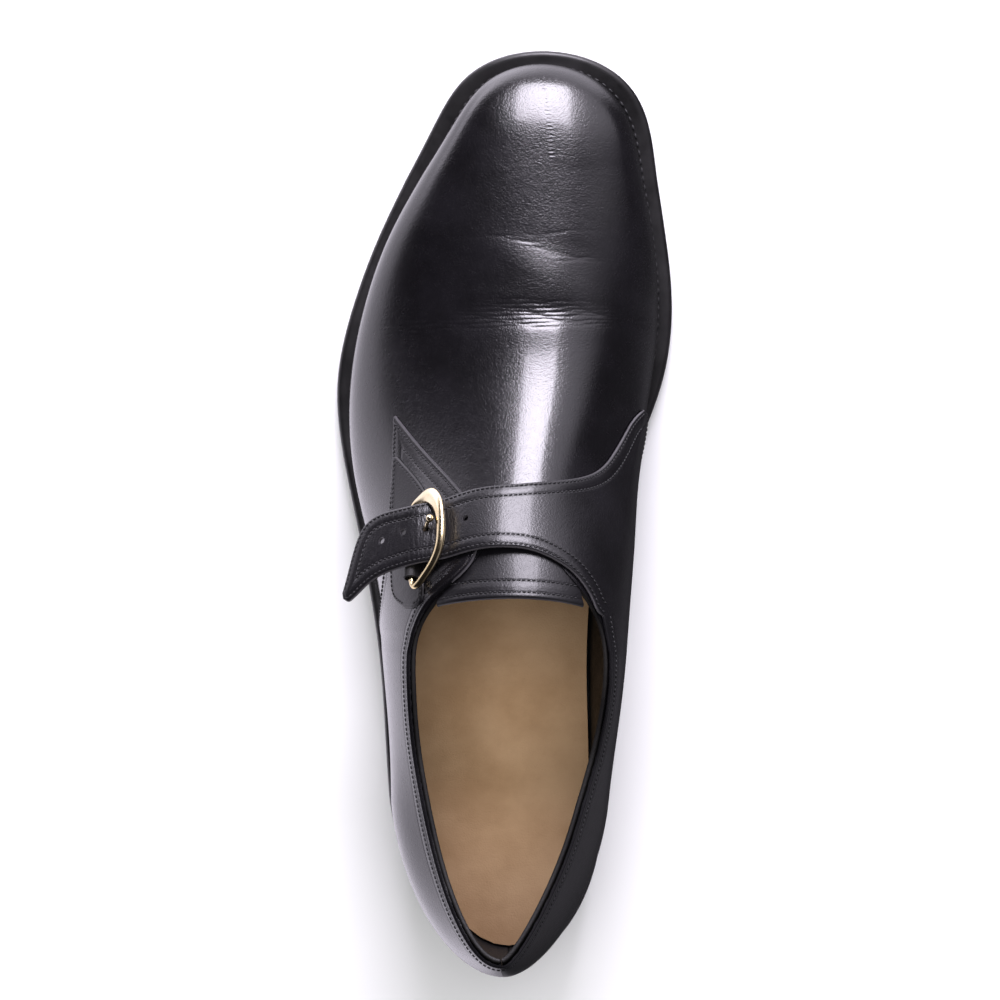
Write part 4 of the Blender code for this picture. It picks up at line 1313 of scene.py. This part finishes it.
def make_keepers():
    """Leather loops over the buckle's bar, sewn down on the tab."""
    lay, normal = buckle_plane()
    calf = black_lining("keeper_calf")
    turns = np.radians(np.linspace(200, -20, 23))
    for node, start, end in KEEPERS:
        ends, _, upslope = along_bar(lay, normal, start, end)
        around = [KEEPER_RADIUS * (math.cos(a) * upslope + math.sin(a) * normal) for a in turns]
        legs = [arm - normal * KEEPER_LEG for arm in (around[0], around[-1])]
        section = np.array(legs[:1] + around + legs[1:])
        middle = np.linspace(ends[0], ends[1], 20)
        points = middle[:, None, :] + section[None, :, :]
        distance = edge_distance(points, (points[0], points[-1]))
        piece = grid_piece(node + "_calf", soften(points, distance, 0.5))
        thicken(piece, 0.5)
        smooth(piece, 60)
        dress(piece, calf, "upper_leather", node)


class Thread:
    """Gathers stitches, each a copy of one small capsule, into one piece."""

    def __init__(self):
        bpy.ops.object.select_all(action="DESELECT")
        bpy.ops.mesh.primitive_uv_sphere_add(segments=6, ring_count=5, radius=1.0)
        model = bpy.context.object
        points = np.empty(len(model.data.vertices) * 3)
        model.data.vertices.foreach_get("co", points)
        self.model = points.reshape(-1, 3)
        self.faces = [tuple(p.vertices) for p in model.data.polygons]
        self.points = []
        bpy.data.objects.remove(model, do_unlink=True)

    def row(self, line, facing, pitch=1.55, length=1.38, thick=0.28, sink=0.02, slant=0.14):
        """Stitches along a line on a surface."""
        total = walk(line)[-1]
        spots = np.arange(pitch / 2, total, pitch)
        ahead = line_at(line, np.minimum(spots + 0.3, total))
        behind = line_at(line, np.maximum(spots - 0.3, 0))
        ups = unit(line_at(line, spots, facing))
        along = ahead - behind
        along = unit(along - ups * (along * ups).sum(axis=1, keepdims=True))
        runs = along * math.cos(slant) + np.cross(ups, along) * math.sin(slant)
        places = line_at(line, spots) + ups * sink
        for place, run, side, up in zip(places, runs, np.cross(ups, runs), ups):
            shape = np.array((run * length / 2, side * thick, up * thick))
            self.points.append(place + self.model @ shape)

    def make(self, name, finish):
        """One piece of all the stitches that were gathered."""
        count = len(self.model)
        points = np.concatenate(self.points) * MM
        firsts = range(0, len(points), count)
        faces = [tuple(i + first for i in face) for first in firsts for face in self.faces]
        mesh = bpy.data.meshes.new(name)
        mesh.from_pydata(points.tolist(), [], faces)
        piece = bpy.data.objects.new(name, mesh)
        bpy.context.scene.collection.objects.link(piece)
        smooth(piece, 80)
        return dress(piece, finish, "upper_leather")


def make_stitches(lateral, side, strap, tab, tongue, sole):
    """Every visible stitch row."""
    thread = black_thread()
    rows = Thread()
    rows.row(*inset_line(lateral, SEAM_ROW, slice(REAR_ROWS, None)))
    rows.row(*inset_line(side, SEAM_ROW, slice(REAR_ROWS, None), from_end=True))
    # The front edge of the lateral quarter has two rows, and the collar behind it one.
    for distance in FRONT_EDGE_ROWS:
        rows.row(*inset_line(lateral, distance, slice(REAR_ROWS + 30, None), from_end=True))
    rows.row(*inset_line(lateral, COLLAR_ROW, slice(0, REAR_ROWS + 22), from_end=True))
    rows.row(*inset_line(side, COLLAR_ROW, slice(0, REAR_ROWS + 2)))
    for sheet, distances in ((strap, STRAP_ROWS), (tab, TAB_ROWS)):
        for distance in distances:
            rows.row(*inset_line(sheet, distance))
            rows.row(*inset_line(sheet, distance, from_end=True))
    # The tongue's grid is turned, so that its rows run from the rear edge, and faces down then.
    across = [np.swapaxes(part, 0, 1) for part in tongue]
    for distance in TONGUE_ROWS:
        line, facing = inset_line(across, distance)
        rows.row(line[2:-2], -facing[2:-2])
    rows.make("upper_stitches", thread)

    edge, wall, top = sole
    seam = at_height(edge + (wall - edge) * 0.60, top)
    seam = np.concatenate((seam, seam[:1]))
    up = np.tile((0.0, 0.0, 1.0), (len(seam), 1))
    welted = Thread()
    welted.row(seam, up, pitch=2.9, length=2.3, thick=0.42, sink=0.05, slant=0.0)
    welted.make("welt_stitches", thread)


make_vamp()
make_lining()
lateral_sheet = make_lateral_quarter()
side_sheet, strap_sheet = make_medial_quarter()
tab_sheet = make_tab()
tongue_sheet = make_tongue()
sole_lines = make_sole()
make_heel()
make_buckle(strap_sheet[0])
make_keepers()
make_stitches(lateral_sheet, side_sheet, strap_sheet, tab_sheet, tongue_sheet, sole_lines)

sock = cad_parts["insole"]
sock.data.materials.clear()
sock.data.materials.append(tan_sock())


def make_floor():
    """A pale floor that the leather doesn't mirror."""
    bpy.ops.object.select_all(action="DESELECT")
    bpy.ops.mesh.primitive_plane_add(size=6.0, location=(0, 0, 0))
    floor = bpy.context.object
    floor.name = "floor"
    finish = Finish("pale_floor")
    colour = finish.mottle(finish.coordinates(), 3.0, (0.86, 0.86, 0.87), (0.92, 0.92, 0.92), 0.7)
    finish.set(base_color=colour, roughness=0.7)
    floor.data.materials.append(finish.material)
    floor.visible_glossy = False


def soft_light(name, place, aim, size, power, colour):
    """A rectangular softbox."""
    light = bpy.data.lights.new(name, "AREA")
    light.shape = "RECTANGLE"
    light.size, light.size_y = size
    light.energy = power
    light.color = colour
    lamp = bpy.data.objects.new(name, light)
    bpy.context.scene.collection.objects.link(lamp)
    lamp.location = place
    lamp.rotation_euler = (Vector(aim) - Vector(place)).to_track_quat("-Z", "Y").to_euler()
    return lamp


def make_studio():
    """Floor, lights and the soft glow of the room that the leather mirrors."""
    make_floor()
    bpy.context.scene.view_settings.view_transform = "Standard"
    middle = (0.0, 0.0, 0.0)
    soft_light("front_softbox", (0.055, 0.93, 0.68), (0.0, 0.05, 0.05), (0.50, 0.56), 20,
               (0.93, 0.88, 1.0))
    fill = soft_light("overhead_fill", (0.0, 0.0, 2.2), middle, (2.4, 2.4), 50, (1.0, 1.0, 1.0))
    fill.visible_glossy = False
    world = bpy.data.worlds.new("studio")
    bpy.context.scene.world = world
    studio = Finish("studio", world)
    way = studio.node("ShaderNodeTexCoord", out="Generated")
    x, y, z = studio.axes(way, 1.0)
    below = 1 - z.ramp(-0.20, 0.16)
    left = (-x).ramp(-0.10, 0.35)
    right = x.ramp(0.10, 0.55) * (0.02 + z.trough(0.65, 0.25) * 0.34)
    right_rear = x.ramp(0.30, 0.70) * (1 - y.ramp(-0.15, 0.15)) * below
    ahead = y.ramp(0.45, 0.95) * (1 - z.ramp(0.0, 0.34)) * (1 - x.ramp(0.52, 0.75))
    ahead_left = (-x).ramp(0.30, 0.60) * y.ramp(0.42, 0.56)
    ahead_left = ahead_left * z.ramp(-0.35, -0.12) * (1 - z.ramp(0.02, 0.12))
    ahead_right = x.ramp(0.0, 0.30) * y.ramp(0.33, 0.62)
    ahead_right = ahead_right * z.ramp(0.10, 0.35) * (1 - z.ramp(0.72, 0.86))
    glow = 0.012 + below * (0.03 + left * 1.30) + right + right_rear * 0.18
    glow = glow + ahead * 2.2 + ahead_left * 1.8 + ahead_right * 1.5
    # A mix stops at 1, so the glow is scaled down to fit and its colour up.
    brightest = 6.0
    colour = tuple(part * brightest for part in (0.93, 0.88, 1.0)) + (1,)
    studio.set(color=studio.mix(glow / brightest, (0.0, 0.0, 0.0, 1), colour), strength=1.0)


CAMERA_PLACE = Vector((0.0584, 0.002, 1.300))
CAMERA_AIM = Vector((0.0, 0.002, 0.040))


def make_camera():
    """The camera over the shoe, with the toe to the top of the picture."""
    data = bpy.data.cameras.new("camera")
    data.sensor_width = 36.0
    data.lens = 139.4
    camera = bpy.data.objects.new("camera", data)
    bpy.context.scene.collection.objects.link(camera)
    camera.location = CAMERA_PLACE
    back = (CAMERA_PLACE - CAMERA_AIM).normalized()
    right = Vector((0.0, 1.0, 0.0)).cross(back).normalized()
    turned = Matrix((right, back.cross(right), back)).transposed()
    camera.rotation_euler = turned.to_euler()
    bpy.context.scene.camera = camera


make_studio()
make_camera()
